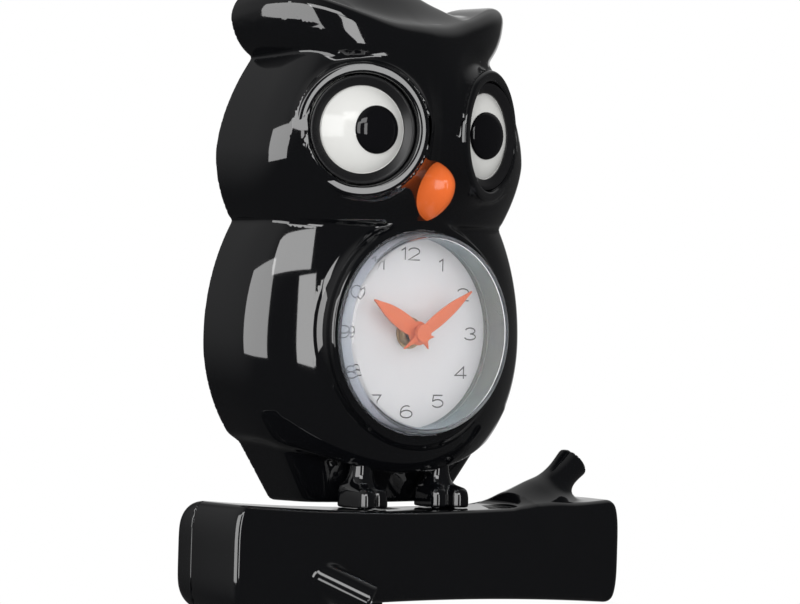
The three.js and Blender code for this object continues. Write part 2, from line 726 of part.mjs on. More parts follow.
function owlShell() {
  const outer = owlForm(0);
  const bossLow = COVER_THICKNESS + SEAT_GAP;
  const coverBosses = coverScrewPlaces.map(([x, z]) => rod(BOSS_RADIUS, bossLow, BELLY_DEPTH, x, z));
  const footBossTop = FOOT_SCREW_TOP + SCREW_RADIUS * 2;
  const footBosses = eyeSides.map(([, side]) =>
    post(BOSS_RADIUS, BELLY_BOTTOM - BELLY_DROP, footBossTop, side * footScrewX, FOOT_SCREW_DEPTH));
  const dialBosses = dialScrewPlaces.map(([x, z]) => rod(BOSS_RADIUS, wellBack, BELLY_DEPTH, x, z));
  const hollow = cut(outer, owlForm(SHELL_WALL));
  const bosses = common(join(...coverBosses, ...footBosses, ...dialBosses), outer);
  const opened = cut(join(hollow, bosses), rod(DIAL_RADIUS, wellBack - CUT_MARGIN, FAR, 0, 0, DIAL_SIDES));
  const holed = cut(opened, ...eyeSides.map(([, side]) => placeEye(socketOpening(), side)));
  const cups = eyeSides.map(([, side]) =>
    join(placeEye(socketCup(), side), placeEye(socketLip(), side, LIP_TURN)));
  const joined = join(holed, dialWell(), ...cups);
  const footHoleTop = FOOT_SCREW_TOP + SEAT_GAP;
  const screwHoles = [
    ...coverScrewPlaces.map(([x, z]) => rod(screwHoleRadius, 0, bossLow + SCREW_LENGTH, x, z)),
    ...dialScrewPlaces.map(([x, z]) => rod(screwHoleRadius, 0, wellBack + DIAL_SCREW_LENGTH, x, z)),
    ...eyeSides.map(([, side]) =>
      post(screwHoleRadius, LOG_WAIST_TOP, footHoleTop, side * footScrewX, FOOT_SCREW_DEPTH)),
  ];
  const beakHole = rod(BEAK_PIN_RADIUS + SEAT_GAP, BEAK_ROOT - 1, FAR, 0, BEAK_WIDEST);
  const tailSlot = block(-SWING_ROOM, SWING_ROOM, rodDepth - TAIL_NECK, rodDepth + TAIL_NECK, RUMP_BOTTOM - 1,
    RUMP_BOTTOM + SHELL_WALL + 1);
  const bores = eyeSides.map(([, side]) => placeEye(socketBore(), side));
  const seat = DIAL_RADIUS + SEAT_GAP;
  const mouth = CRYSTAL_RADIUS + SEAT_GAP;
  const wellBore = turned([[0, wellBack - 1], [seat, wellBack - 1], [seat, shelf], [mouth, shelf],
    [mouth, FAR], [0, FAR]], DIAL_SIDES);
  return inFrontOfWall(cut(joined, ...screwHoles, beakHole, tailSlot, ...bores, wellBore));
}

function backCover() {
  const blank = common(owlForm(SHELL_WALL + COVER_GAP), block(-FAR, FAR, 0, COVER_THICKNESS, -FAR, FAR));
  const through = COVER_THICKNESS + 1;
  const windowHalf = CASE_HALF_WIDTH + WINDOW_MARGIN;
  const window = block(-windowHalf, windowHalf, -1, through, CASE_BOTTOM - WINDOW_MARGIN,
    CASE_TOP + WINDOW_MARGIN);
  const notchTop = RUMP_BOTTOM + SHELL_WALL + COVER_GAP + COVER_NOTCH_RISE;
  const tailNotch = block(-SWING_ROOM, SWING_ROOM, -1, rodDepth, RUMP_BOTTOM - 1, notchTop);
  const screwHoles = coverScrewPlaces.map(([x, z]) => rod(screwHoleRadius, -1, through, x, z));
  const headSinks = coverScrewPlaces.map(([x, z]) =>
    rod(SCREW_HEAD_RADIUS + SEAT_GAP, -1, SCREW_HEAD_HEIGHT + SEAT_GAP, x, z, HEAD_SIDES));
  const headHole = HANG_HEIGHT - KEYHOLE_RISE;
  const keyhole = [
    rod(KEYHOLE_HEAD_RADIUS, -1, through, 0, headHole, PIN_SIDES),
    rod(KEYHOLE_SLOT_RADIUS, -1, through, 0, HANG_HEIGHT, HEAD_SIDES),
    block(-KEYHOLE_SLOT_RADIUS, KEYHOLE_SLOT_RADIUS, -1, through, headHole, HANG_HEIGHT),
  ];
  return cut(blank, window, tailNotch, ...screwHoles, ...headSinks, ...keyhole);
}

// A screw along the depth direction: its head's underside at one depth, its shank running forward
function screwForward(x, height, seat, headRadius, headHeight, length) {
  return join(rod(headRadius, seat - headHeight, seat, x, height),
    rod(SCREW_RADIUS, seat - headHeight / 2, seat + length, x, height, SHANK_SIDES));
}

// Beak

function beak() {
  const tip = COLLAR_RADIUS + BEAK_TIP_CLEARANCE;
  const steps = 10;
  const rings = [];
  for (let i = 0; i <= steps; i += 1) {
    const turn = Math.PI * i / steps;
    const height = THREE.MathUtils.lerp(tip, BEAK_TOP, (1 - Math.cos(turn)) / 2);
    const below = height < BEAK_WIDEST;
    const reach = below ? BEAK_WIDEST - tip : BEAK_TOP - BEAK_WIDEST;
    const away = Math.min(1, Math.abs(height - BEAK_WIDEST) / reach);
    const share = Math.max(0.08, (1 - away ** 2) ** (below ? BEAK_TIP_POWER : BEAK_TOP_POWER));
    const ring = [];
    const arcSteps = 14;
    for (let k = 0; k <= arcSteps; k += 1) {
      const across = Math.PI * k / arcSteps;
      const forward = BEAK_ROOT + (BEAK_FRONT - BEAK_ROOT) * (0.25 + 0.75 * share) * Math.sin(across);
      ring.push(new THREE.Vector3(BEAK_HALF_WIDTH * share * Math.cos(across), -forward, height));
    }
    rings.push(ring);
  }
  const face = join(headForm(-SEAT_GAP), browForm(-SEAT_GAP));
  const drop = cut(ringLoft(rings), face);
  const pin = rod(BEAK_PIN_RADIUS, BEAK_ROOT, (BEAK_ROOT + BEAK_FRONT) / 2, 0, BEAK_WIDEST);
  return join(drop, pin);
}

// Dial and crystal

const dialHole = BUSH_RADIUS + SEAT_GAP;

function dial() {
  return turned([[dialHole, wellBack], [DIAL_RADIUS, wellBack], [DIAL_RADIUS, DIAL_FRONT],
    [dialHole, DIAL_FRONT]], DIAL_SIDES);
}

function crystal() {
  const low = DIAL_FRONT + SEAT_GAP;
  const inner = CRYSTAL_RADIUS - CRYSTAL_WALL;
  return turned([[inner, low], [DIAL_RADIUS, low], [DIAL_RADIUS, flangeFront], [CRYSTAL_RADIUS, flangeFront],
    [CRYSTAL_RADIUS, CRYSTAL_FRONT - CRYSTAL_EDGE], [CRYSTAL_RADIUS - CRYSTAL_EDGE, CRYSTAL_FRONT],
    [0, CRYSTAL_FRONT],
    [0, CRYSTAL_FRONT - CRYSTAL_WALL], [inner, CRYSTAL_FRONT - CRYSTAL_WALL]], DIAL_SIDES);
}

function dialNut() {
  const low = DIAL_FRONT + SEAT_GAP + WASHER_THICKNESS + SEAT_GAP;
  const hexagon = rod(NUT_ACROSS_CORNERS / 2, low, low + NUT_THICKNESS, 0, 0, 6);
  return cut(hexagon, rod(dialHole, 0, FAR, 0, 0, HUB_SIDES));
}

function dialWasher() {
  const low = DIAL_FRONT + SEAT_GAP;
  return turned([[dialHole, low], [WASHER_RADIUS, low], [WASHER_RADIUS, low + WASHER_THICKNESS],
    [dialHole, low + WASHER_THICKNESS]], ROUND_SIDES);
}

// Movement

const caseFront = wellBack - SEAT_GAP;
const caseInnerFront = caseFront - CASE_WALL;
const lidInner = CASE_BACK + CASE_WALL;
const arborBack = lidInner + SEAT_GAP;
const arborFront = caseInnerFront - SEAT_GAP;
const knobArborBack = CASE_BACK - KNOB_LENGTH / 2;
const batteryDepth = CASE_BACK + BATTERY_RADIUS;
const bayTop = BATTERY_HEIGHT + BATTERY_RADIUS + SEAT_GAP;
const pinBossBack = HANGER_BACK + HANGER_THICKNESS + SEAT_GAP;

const polar = (distance, angle, x = 0, height = 0) => [
  x + distance * Math.cos(angle),
  height + distance * Math.sin(angle),
];
const [motionX, motionHeight] = polar(MOTION_DISTANCE, MOTION_ANGLE);
const [thirdX, thirdHeight] = polar(THIRD_DISTANCE, THIRD_ANGLE);
const [secondsX, secondsHeight] = polar(SECONDS_DISTANCE, SECONDS_ANGLE, thirdX, thirdHeight);

function movementCase() {
  const outer = block(-CASE_HALF_WIDTH, CASE_HALF_WIDTH, lidInner, caseFront, CASE_BOTTOM, CASE_TOP);
  const room = block(-CASE_HALF_WIDTH + CASE_WALL, CASE_HALF_WIDTH - CASE_WALL, 0, caseInnerFront,
    CASE_BOTTOM + CASE_WALL, CASE_TOP - CASE_WALL);
  const bush = rod(BUSH_RADIUS, caseFront - CASE_WALL / 2, BUSH_FRONT, 0, 0, HUB_SIDES);
  return cut(join(cut(outer, room), bush), rod(HOUR_PIPE_RADIUS + SEAT_GAP, 0, FAR, 0, 0, HUB_SIDES));
}

function movementLid() {
  const far = lidInner - SEAT_GAP;
  const lid = block(-CASE_HALF_WIDTH, CASE_HALF_WIDTH, CASE_BACK, far, CASE_BOTTOM, CASE_TOP);
  const bay = block(-BATTERY_LENGTH / 2 - CASE_WALL, BATTERY_LENGTH / 2 + CASE_WALL, 0, FAR,
    BATTERY_HEIGHT - BATTERY_RADIUS - SEAT_GAP, bayTop);
  const pinBoss = rod(PIN_RADIUS * 2.4, pinBossBack, CASE_BACK + CASE_WALL / 2, 0, PIVOT_HEIGHT, HEAD_SIDES);
  const pinHole = rod(PIN_RADIUS + SEAT_GAP, 0, FAR, 0, PIVOT_HEIGHT);
  const knobHole = rod(SMALL_ARBOR_RADIUS + SEAT_GAP * 2, 0, FAR, motionX, motionHeight);
  return cut(join(lid, pinBoss), bay, pinHole, knobHole);
}

// A wheel's toothed outline: straight-sided teeth, thin enough to run free in their neighbour
function toothedOutline(teeth, moduleSize, phase) {
  const pitchRadius = teeth * moduleSize / 2;
  const tip = pitchRadius + TOOTH_ADDENDUM * moduleSize;
  const root = pitchRadius - TOOTH_DEDENDUM * moduleSize;
  const step = Math.PI * 2 / teeth;
  const corners = [];
  for (let i = 0; i < teeth; i += 1) {
    const middle = phase + i * step;
    for (const [share, radius] of [[-0.26, root], [-0.1, tip], [0.1, tip], [0.26, root]]) {
      const turn = middle + share * step;
      corners.push(new THREE.Vector2(radius * Math.cos(turn), radius * Math.sin(turn)));
    }
  }
  return new THREE.Shape(corners);
}

function wheel(teeth, moduleSize, phase, near, x, height) {
  const outline = toothedOutline(teeth, moduleSize, phase);
  return plate(outline, near, near + WHEEL_THICKNESS).translate(x, 0, height);
}

const moduleFor = (distance, teethA, teethB) => distance * 2 / (teethA + teethB);
const gapPhase = (teeth) => Math.PI / teeth;

const hourWheelDepth = arborFront - WHEEL_THICKNESS - SEAT_GAP;
const secondsWheelDepth = arborBack + SEAT_GAP;

const motionModule = moduleFor(MOTION_DISTANCE, CANNON_TEETH, MOTION_TEETH);
const hourModule = moduleFor(MOTION_DISTANCE, MOTION_PINION_TEETH, HOUR_TEETH);
const centreModule = moduleFor(THIRD_DISTANCE, CENTRE_TEETH, THIRD_PINION_TEETH);
const thirdModule = moduleFor(SECONDS_DISTANCE, THIRD_TEETH, SECONDS_PINION_TEETH);

function centreWheel() {
  const arbor = rod(MINUTE_ARBOR_RADIUS, CENTRE_WHEEL_DEPTH, MINUTE_BACK + HAND_THICKNESS, 0, 0);
  const tail = rod(SMALL_ARBOR_RADIUS, arborBack, CENTRE_WHEEL_DEPTH + WHEEL_THICKNESS, 0, 0);
  return join(arbor, tail, wheel(CENTRE_TEETH, centreModule, THIRD_ANGLE, CENTRE_WHEEL_DEPTH, 0, 0),
    wheel(CANNON_TEETH, motionModule, MOTION_ANGLE, CANNON_DEPTH, 0, 0));
}

function hourWheel() {
  const pipe = rod(HOUR_PIPE_RADIUS, hourWheelDepth, HOUR_BACK + HAND_THICKNESS, 0, 0, PIN_SIDES);
  const gear = wheel(HOUR_TEETH, hourModule, MOTION_ANGLE + gapPhase(HOUR_TEETH), hourWheelDepth, 0, 0);
  return cut(join(pipe, gear), rod(HOUR_PIPE_BORE, 0, FAR, 0, 0, PIN_SIDES));
}

function motionWheel() {
  const place = [motionX, motionHeight];
  const facing = MOTION_ANGLE + Math.PI;
  const arbor = rod(SMALL_ARBOR_RADIUS, knobArborBack, arborFront, ...place);
  const gear = wheel(MOTION_TEETH, motionModule, facing + gapPhase(MOTION_TEETH), CANNON_DEPTH, ...place);
  const pinion = wheel(MOTION_PINION_TEETH, hourModule, facing, hourWheelDepth, ...place);
  const sleeve = rod(motionModule * 2, CANNON_DEPTH, hourWheelDepth + WHEEL_THICKNESS / 2, ...place);
  return join(arbor, gear, pinion, sleeve);
}

function thirdWheel() {
  const place = [thirdX, thirdHeight];
  const arbor = rod(SMALL_ARBOR_RADIUS, arborBack, arborFront, ...place);
  const phase = THIRD_ANGLE + Math.PI + gapPhase(THIRD_PINION_TEETH);
  const pinion = wheel(THIRD_PINION_TEETH, centreModule, phase, CENTRE_WHEEL_DEPTH, ...place);
  return join(arbor, pinion, wheel(THIRD_TEETH, thirdModule, SECONDS_ANGLE, THIRD_WHEEL_DEPTH, ...place));
}

function secondsWheel() {
  const place = [secondsX, secondsHeight];
  const arbor = rod(SMALL_ARBOR_RADIUS, arborBack, arborFront, ...place);
  const phase = SECONDS_ANGLE + Math.PI + gapPhase(SECONDS_PINION_TEETH);
  const pinion = wheel(SECONDS_PINION_TEETH, thirdModule, phase, THIRD_WHEEL_DEPTH, ...place);
  const discFront = secondsWheelDepth + WHEEL_THICKNESS;
  const disc = rod(SECONDS_WHEEL_RADIUS, secondsWheelDepth, discFront, ...place, HUB_SIDES);
  return join(arbor, pinion, disc);
}

function setKnob() {
  const far = CASE_BACK - SEAT_GAP;
  const body = rod(KNOB_RADIUS, far - KNOB_LENGTH, far, motionX, motionHeight, PIN_SIDES);
  return cut(body, rod(SMALL_ARBOR_RADIUS + SEAT_GAP, knobArborBack - SEAT_GAP, FAR, motionX, motionHeight));
}

function rotor() {
  const place = [ROTOR_X, ROTOR_HEIGHT];
  const magnet = rod(ROTOR_RADIUS, arborBack + 1, STATOR_DEPTH + STATOR_THICKNESS + 1, ...place, PIN_SIDES);
  return join(magnet, rod(SMALL_ARBOR_RADIUS, arborBack, arborFront, ...place));
}

const statorRight = CASE_HALF_WIDTH - CASE_WALL - SEAT_GAP;
const statorBottom = ROTOR_HEIGHT - ROTOR_RADIUS * 1.8;
const statorTop = CASE_TOP - CASE_WALL - SEAT_GAP;

function stator() {
  const outline = squareOutline(ROTOR_X - ROTOR_RADIUS * 1.6, statorRight, statorBottom, statorTop);
  const hole = rod(ROTOR_RADIUS + SEAT_GAP * 2, 0, FAR, ROTOR_X, ROTOR_HEIGHT, PIN_SIDES);
  return cut(plate(outline, STATOR_DEPTH, STATOR_DEPTH + STATOR_THICKNESS), hole);
}

function motorCoil() {
  const depth = STATOR_DEPTH + STATOR_THICKNESS + SEAT_GAP + COIL_RADIUS;
  const right = statorRight - SEAT_GAP;
  const winding = new THREE.CylinderGeometry(COIL_RADIUS, COIL_RADIUS, COIL_LENGTH, HEAD_SIDES);
  winding.rotateZ(Math.PI / 2).translate(right - COIL_LENGTH / 2, -depth, ROTOR_HEIGHT);
  return winding;
}

function circuitBoard() {
  const half = CASE_HALF_WIDTH - CASE_WALL - SEAT_GAP;
  const far = caseInnerFront - SEAT_GAP;
  const hourReach = (HOUR_TEETH / 2 + 1.5) * hourModule;
  return block(-half, half, far - BOARD_THICKNESS, far, bayTop + SEAT_GAP, -hourReach - SEAT_GAP);
}

function pendulumCoil() {
  const near = lidInner + SEAT_GAP;
  return rod(PENDULUM_COIL_RADIUS, near, near + PENDULUM_COIL_LENGTH, 0, MAGNET_HEIGHT, HUB_SIDES);
}

function battery() {
  const radius = BATTERY_RADIUS - SEAT_GAP;
  const can = new THREE.CylinderGeometry(radius, radius, BATTERY_LENGTH - BATTERY_CAP_RISE * 2, HUB_SIDES);
  const cap = new THREE.CylinderGeometry(BATTERY_CAP_RADIUS, BATTERY_CAP_RADIUS, BATTERY_LENGTH, HEAD_SIDES);
  can.rotateZ(Math.PI / 2).translate(-BATTERY_CAP_RISE, -batteryDepth, BATTERY_HEIGHT);
  cap.rotateZ(Math.PI / 2).translate(0, -batteryDepth, BATTERY_HEIGHT);
  return join(can, cap);
}

function batteryContact(side) {
  const inner = BATTERY_LENGTH / 2 + SEAT_GAP;
  const outer = CASE_HALF_WIDTH - CASE_WALL - SEAT_GAP;
  const half = CONTACT_SIZE / 2;
  return block(side > 0 ? inner : -outer, side > 0 ? outer : -inner, batteryDepth - half, batteryDepth + half,
    BATTERY_HEIGHT - half, BATTERY_HEIGHT + half);
}

// Hands

// A leaf with a pointed tail, along +X before it is turned to its angle
function handOutline(length, tail, halfWidth) {
  const shape = new THREE.Shape();
  const tip = 0.9;
  shape.moveTo(length - tip, -tip);
  shape.absarc(length - tip, 0, tip, -Math.PI / 2, Math.PI / 2, false);
  shape.bezierCurveTo(length * 0.7, halfWidth * 0.75, length * 0.5, halfWidth, length * 0.3, halfWidth);
  shape.bezierCurveTo(length * 0.15, halfWidth, 0, halfWidth * 0.6, -tail, 0.3);
  shape.lineTo(-tail, -0.3);
  shape.bezierCurveTo(0, -halfWidth * 0.6, length * 0.15, -halfWidth, length * 0.3, -halfWidth);
  shape.bezierCurveTo(length * 0.5, -halfWidth, length * 0.7, -halfWidth * 0.75, length - tip, -tip);
  return shape;
}

function handBlade(length, tail, halfWidth, back, clockAngle) {
  const geometry = new THREE.ExtrudeGeometry(handOutline(length, tail, halfWidth),
    { depth: HAND_THICKNESS, bevelEnabled: false, curveSegments: 8 });
  return geometry.rotateZ(Math.PI / 2 - clockAngle).rotateX(Math.PI / 2).translate(0, -back, 0);
}

function minuteHand() {
  const blade = handBlade(MINUTE_LENGTH, MINUTE_TAIL, MINUTE_HALF_WIDTH, MINUTE_BACK, MINUTE_ANGLE);
  const hub = rod(MINUTE_HUB_RADIUS, MINUTE_BACK, MINUTE_BACK + HAND_THICKNESS * 2.2, 0, 0, HUB_SIDES);
  const bore = rod(MINUTE_ARBOR_RADIUS + SEAT_GAP, 0, MINUTE_BACK + HAND_THICKNESS + SEAT_GAP, 0, 0);
  return cut(join(blade, hub), bore);
}

function hourHand() {
  const blade = handBlade(HOUR_LENGTH, HOUR_TAIL, HOUR_HALF_WIDTH, HOUR_BACK, HOUR_ANGLE);
  const hub = rod(HOUR_HUB_RADIUS, HOUR_BACK, HOUR_BACK + HAND_THICKNESS, 0, 0, HUB_SIDES);
  return cut(join(blade, hub), rod(HOUR_PIPE_RADIUS + SEAT_GAP, 0, FAR, 0, 0, PIN_SIDES));
}

// Pendulum

const rodSocketBottom = HANGER_BOTTOM - ROD_SOCKET_DROP;
const rodSocketTop = rodSocketBottom + ROD_SOCKET_DEPTH;
const rodBottom = TAIL_TOP - TAIL_SOCKET_DEPTH;

function pendulumPin() {
  const shank = rod(PIN_RADIUS, PIN_END, CASE_BACK + CASE_WALL / 2, 0, PIVOT_HEIGHT);
  const head = rod(PIN_RADIUS * 2, PIN_END - 1, HANGER_BACK - SEAT_GAP, 0, PIVOT_HEIGHT, HEAD_SIDES);
  return join(shank, head);
}

function pendulumHanger() {
  const far = HANGER_BACK + HANGER_THICKNESS;
  const bar = block(-HANGER_HALF_WIDTH, HANGER_HALF_WIDTH, HANGER_BACK, far, HANGER_BOTTOM, PIVOT_HEIGHT);
  const eye = rod(HANGER_HALF_WIDTH, HANGER_BACK, far, 0, PIVOT_HEIGHT, PIN_SIDES);
  const magnetSeat = CASE_BACK - MAGNET_AIR_GAP - MAGNET_LENGTH - SEAT_GAP;
  const magnetPost = rod(MAGNET_RADIUS, HANGER_BACK, magnetSeat, 0, MAGNET_HEIGHT, PIN_SIDES);
  const bore = rod(PIN_RADIUS + SEAT_GAP, 0, FAR, 0, PIVOT_HEIGHT, HEAD_SIDES);
  const rodSocket = post(ROD_RADIUS + SEAT_GAP, rodSocketBottom - 1, rodSocketTop, 0, rodDepth);
  const socketBody = post(ROD_RADIUS * 2, rodSocketBottom, HANGER_BOTTOM + ROD_SOCKET_DEPTH, 0, rodDepth);
  return cut(join(bar, eye, magnetPost, socketBody), bore, rodSocket);
}

function pendulumMagnet() {
  const far = CASE_BACK - MAGNET_AIR_GAP;
  return rod(MAGNET_RADIUS, far - MAGNET_LENGTH, far, 0, MAGNET_HEIGHT, PIN_SIDES);
}

function pendulumRod() {
  return post(ROD_RADIUS, rodBottom, rodSocketTop - SEAT_GAP, 0, rodDepth);
}

// A fan-shaped tail with three rounded feather ends
function tailOutline() {
  const shape = new THREE.Shape();
  const feather = TAIL_HALF_WIDTH / 1.5;
  const shoulder = TAIL_BOTTOM + feather;
  const flare = [TAIL_NECK * 1.2, TAIL_TOP - TAIL_FLARE];
  const side = [TAIL_HALF_WIDTH, shoulder + TAIL_SHOULDER];
  shape.moveTo(-TAIL_NECK, TAIL_TOP);
  shape.lineTo(TAIL_NECK, TAIL_TOP);
  shape.bezierCurveTo(...flare, ...side, TAIL_HALF_WIDTH, shoulder);
  shape.absarc(feather, shoulder, feather / 2, 0, -Math.PI, true);
  shape.absarc(0, shoulder - feather / 2, feather / 2, 0, -Math.PI, true);
  shape.lineTo(-feather / 2, shoulder);
  shape.absarc(-feather, shoulder, feather / 2, 0, -Math.PI, true);
  shape.bezierCurveTo(-side[0], side[1], -flare[0], flare[1], -TAIL_NECK, TAIL_TOP);
  return shape;
}

function pendulumTail() {
  const near = rodDepth - TAIL_THICKNESS / 2;
  const body = plate(tailOutline(), near, near + TAIL_THICKNESS, 8);
  return cut(body, post(ROD_RADIUS + SEAT_GAP, rodBottom - SEAT_GAP, TAIL_TOP + 1, 0, rodDepth));
}

// Log

function logShare(x) {
  return (Math.abs(x) / LOG_HALF_LENGTH) ** 2;
}

const logTopAt = (x) => THREE.MathUtils.lerp(LOG_WAIST_TOP, LOG_END_TOP, logShare(x));
const logBottomAt = (x) => THREE.MathUtils.lerp(LOG_WAIST_BOTTOM, LOG_END_BOTTOM, logShare(x));

// A rounded oblong in depth and height at one place along the log
function logRing(x, inset, shrink) {
  const front = LOG_FRONT - inset - shrink * LOG_END_DEPTH_SHARE;
  const back = LOG_BACK + inset + shrink * LOG_END_DEPTH_SHARE;
  const top = logTopAt(x) - inset - shrink;
  const bottom = logBottomAt(x) + inset + shrink;
  const corners = [
    [front, top, LOG_FRONT_ROUND, 0],
    [back, top, LOG_BACK_ROUND, 1],
    [back, bottom, LOG_BACK_ROUND, 2],
    [front, bottom, LOG_FRONT_ROUND, 3],
  ];
  const ring = [];
  const steps = 3;
  for (const [depth, height, fullRound, quarter] of corners) {
    const round = Math.max(0.8, fullRound - inset);
    const middleDepth = depth > (front + back) / 2 ? depth - round : depth + round;
    const middleHeight = height > (top + bottom) / 2 ? height - round : height + round;
    for (let i = 0; i <= steps; i += 1) {
      const turn = Math.PI / 2 * (quarter + i / steps);
      const forward = middleDepth + round * Math.cos(turn);
      ring.push(new THREE.Vector3(x, -forward, middleHeight + round * Math.sin(turn)));
    }
  }
  return ring;
}

function logForm(inset) {
  const reach = LOG_HALF_LENGTH - inset;
  const rings = [];
  const endSteps = 3;
  const endRing = (side, i) => {
    const turn = Math.PI / 2 * i / endSteps;
    const x = side * (reach - LOG_END_ROUND * (1 - Math.cos(turn)));
    rings.push(logRing(x, inset, LOG_END_TAPER * (1 - Math.sin(turn))));
  };
  for (let i = 0; i <= endSteps; i += 1) endRing(-1, i);
  const steps = 5;
  const straight = reach - LOG_END_ROUND;
  for (let i = 1; i < steps; i += 1) {
    rings.push(logRing(THREE.MathUtils.lerp(-straight, straight, i / steps), inset, 0));
  }
  for (let i = endSteps; i >= 0; i -= 1) endRing(1, i);
  return ringLoft(rings);
}

// A cut twig that flares at its root and a little at its end
function upperTwig() {
  const points = [
    [0, -TWIG_ROOT_LENGTH],
    [TWIG_ROOT_RADIUS * 1.5, -TWIG_ROOT_LENGTH],
    [TWIG_ROOT_RADIUS, UPPER_TWIG_LENGTH * 0.15],
    [TWIG_WAIST_RADIUS, UPPER_TWIG_LENGTH * 0.5],
    [TWIG_END_RADIUS, UPPER_TWIG_LENGTH],
    [0, UPPER_TWIG_LENGTH],
  ].map(([radius, along]) => new THREE.Vector2(radius, along));
  const geometry = new THREE.LatheGeometry(points, PIN_SIDES).rotateX(Math.PI / 2).rotateY(UPPER_TWIG_TILT);
  return geometry.translate(UPPER_TWIG_X, -TWIG_DEPTH, LOG_END_TOP - TWIG_ROOT_SINK);
}

function lowerTwig() {
  const points = [
    [0, -LOWER_TWIG_ROOT],
    [LOWER_TWIG_RADIUS, -LOWER_TWIG_ROOT],
    [LOWER_TWIG_RADIUS, LOWER_TWIG_LENGTH],
    [0, LOWER_TWIG_LENGTH],
  ].map(([radius, along]) => new THREE.Vector2(radius, along));
  const geometry = new THREE.LatheGeometry(points, PIN_SIDES);
  return geometry.rotateX(Math.PI).rotateX(LOWER_TWIG_DIP).rotateZ(LOWER_TWIG_TURN)
    .translate(LOWER_TWIG_X, -LOG_FRONT + LOWER_TWIG_SINK, LOWER_TWIG_HEIGHT);
}

const logScrewPlaces = [-1, 1].flatMap((side) => [-1, 1].map((level) => [
  side * LOG_SCREW_X,
  (logTopAt(LOG_SCREW_X) + logBottomAt(LOG_SCREW_X)) / 2 + level * LOG_SCREW_HEIGHT,
]));

const logShell = () => cut(logForm(0), logForm(LOG_WALL));

function logFront() {
  const near = LOG_SPLIT + SEAT_GAP / 2;
  const ahead = block(-FAR, FAR, near, FAR, -FAR, FAR);
  const half = common(logShell(), ahead);
  const twigs = cut(common(join(upperTwig(), lowerTwig()), ahead), logForm(LOG_WALL));
  const bosses = logScrewPlaces.map(([x, z]) => rod(BOSS_RADIUS, near, LOG_FRONT - LOG_WALL / 2, x, z));
  const screwHoles = logScrewPlaces.map(([x, z]) => rod(screwHoleRadius, 0, near + SCREW_LENGTH * 2, x, z));
  const footHoles = eyeSides.map(([, side]) =>
    post(screwHoleRadius, LOG_WAIST_TOP - CUT_MARGIN, LOG_END_TOP + 1, side * footScrewX, FOOT_SCREW_DEPTH));
  return cut(join(half, twigs, ...bosses), ...screwHoles, ...footHoles);
}

function logBack() {
  const far = LOG_SPLIT - SEAT_GAP / 2;
  const half = common(logShell(), block(-FAR, FAR, -FAR, far, -FAR, FAR));
  const bossBack = LOG_BACK + LOG_WALL / 2;
  const bosses = logScrewPlaces.map(([x, z]) => rod(SCREW_HEAD_RADIUS + 2, bossBack, far, x, z, HEAD_SIDES));
  const screwHoles = logScrewPlaces.map(([x, z]) => rod(screwHoleRadius, 0, FAR, x, z));
  const sinks = logScrewPlaces.map(([x, z]) =>
    rod(SCREW_HEAD_RADIUS + SEAT_GAP, 0, far - LOG_WALL, x, z, HEAD_SIDES));
  return cut(join(half, ...bosses), ...screwHoles, ...sinks);
}

// Feet

// A foot from above, without its rounded edge: a square heel and two round toes, the inner one shorter
function footOutline(side) {
  const outline = new THREE.Shape();
  const half = FOOT_WIDTH / 2 - FOOT_EDGE;
  const length = FOOT_LENGTH / 2 - FOOT_EDGE;
  const round = TOE_RADIUS - FOOT_EDGE;
  const leftFront = -length + round + (side > 0 ? INNER_TOE_SETBACK : 0);
  const rightFront = -length + round + (side > 0 ? 0 : INNER_TOE_SETBACK);
  outline.moveTo(half, length);
  outline.lineTo(-half, length);
  outline.absarc(-half + round, leftFront, round, -Math.PI, 0, false);
  outline.lineTo(-half + round * 2, leftFront + round);
  outline.lineTo(half - round * 2, rightFront + round);
  outline.absarc(half - round, rightFront, round, -Math.PI, 0, false);
  outline.closePath();
  return outline;
}

function foot(side) {
  const bottom = logTopAt(footScrewX) + FOOT_SEAT_GAP;
  const pad = new THREE.ExtrudeGeometry(footOutline(side), {
    depth: FOOT_HEIGHT - FOOT_EDGE * 2,
    bevelThickness: FOOT_EDGE,
    bevelSize: FOOT_EDGE,
    bevelSegments: 2,
    curveSegments: 5,
  });
  pad.translate(side * footScrewX, -FOOT_FRONT + FOOT_LENGTH / 2, bottom + FOOT_EDGE);
  const place = [side * footScrewX, FOOT_SCREW_DEPTH];
  const leg = post(LEG_RADIUS, bottom + FOOT_HEIGHT / 2, LEG_TOP, ...place, HEAD_SIDES);
  const shellClear = join(bellyForm(-SEAT_GAP), rumpForm(-SEAT_GAP));
  const hole = post(screwHoleRadius, -FAR, FAR, ...place);
  return cut(join(pad, leg), shellClear, hole);
}

function footScrew(side) {
  const seat = logTopAt(footScrewX) - LOG_WALL - SEAT_GAP * 2;
  const place = [side * footScrewX, FOOT_SCREW_DEPTH];
  const head = post(SCREW_HEAD_RADIUS, seat - SCREW_HEAD_HEIGHT * 2, seat, ...place);
  return join(head, post(SCREW_RADIUS, seat - SCREW_HEAD_HEIGHT, FOOT_SCREW_TOP, ...place, SHANK_SIDES));
}

// The assembly

const clock = new THREE.Group();
clock.position.z = -HANG_HEIGHT;

function piece(name, geometry, finish) {
  const [color, roughness, metalness] = finishes[finish];
  const material = new THREE.MeshStandardMaterial({ color, roughness, metalness });
  const mesh = new THREE.Mesh(weld(geometry), material);
  mesh.name = name;
  clock.add(mesh);
}

piece("owl_shell", owlShell(), "shell");
piece("back_cover", backCover(), "casing");
coverScrewPlaces.forEach(([x, z], i) => piece(`back_screw_${i + 1}`,
  screwForward(x, z, SCREW_HEAD_HEIGHT, SCREW_HEAD_RADIUS, SCREW_HEAD_HEIGHT - 0.1, SCREW_LENGTH), "steel"));

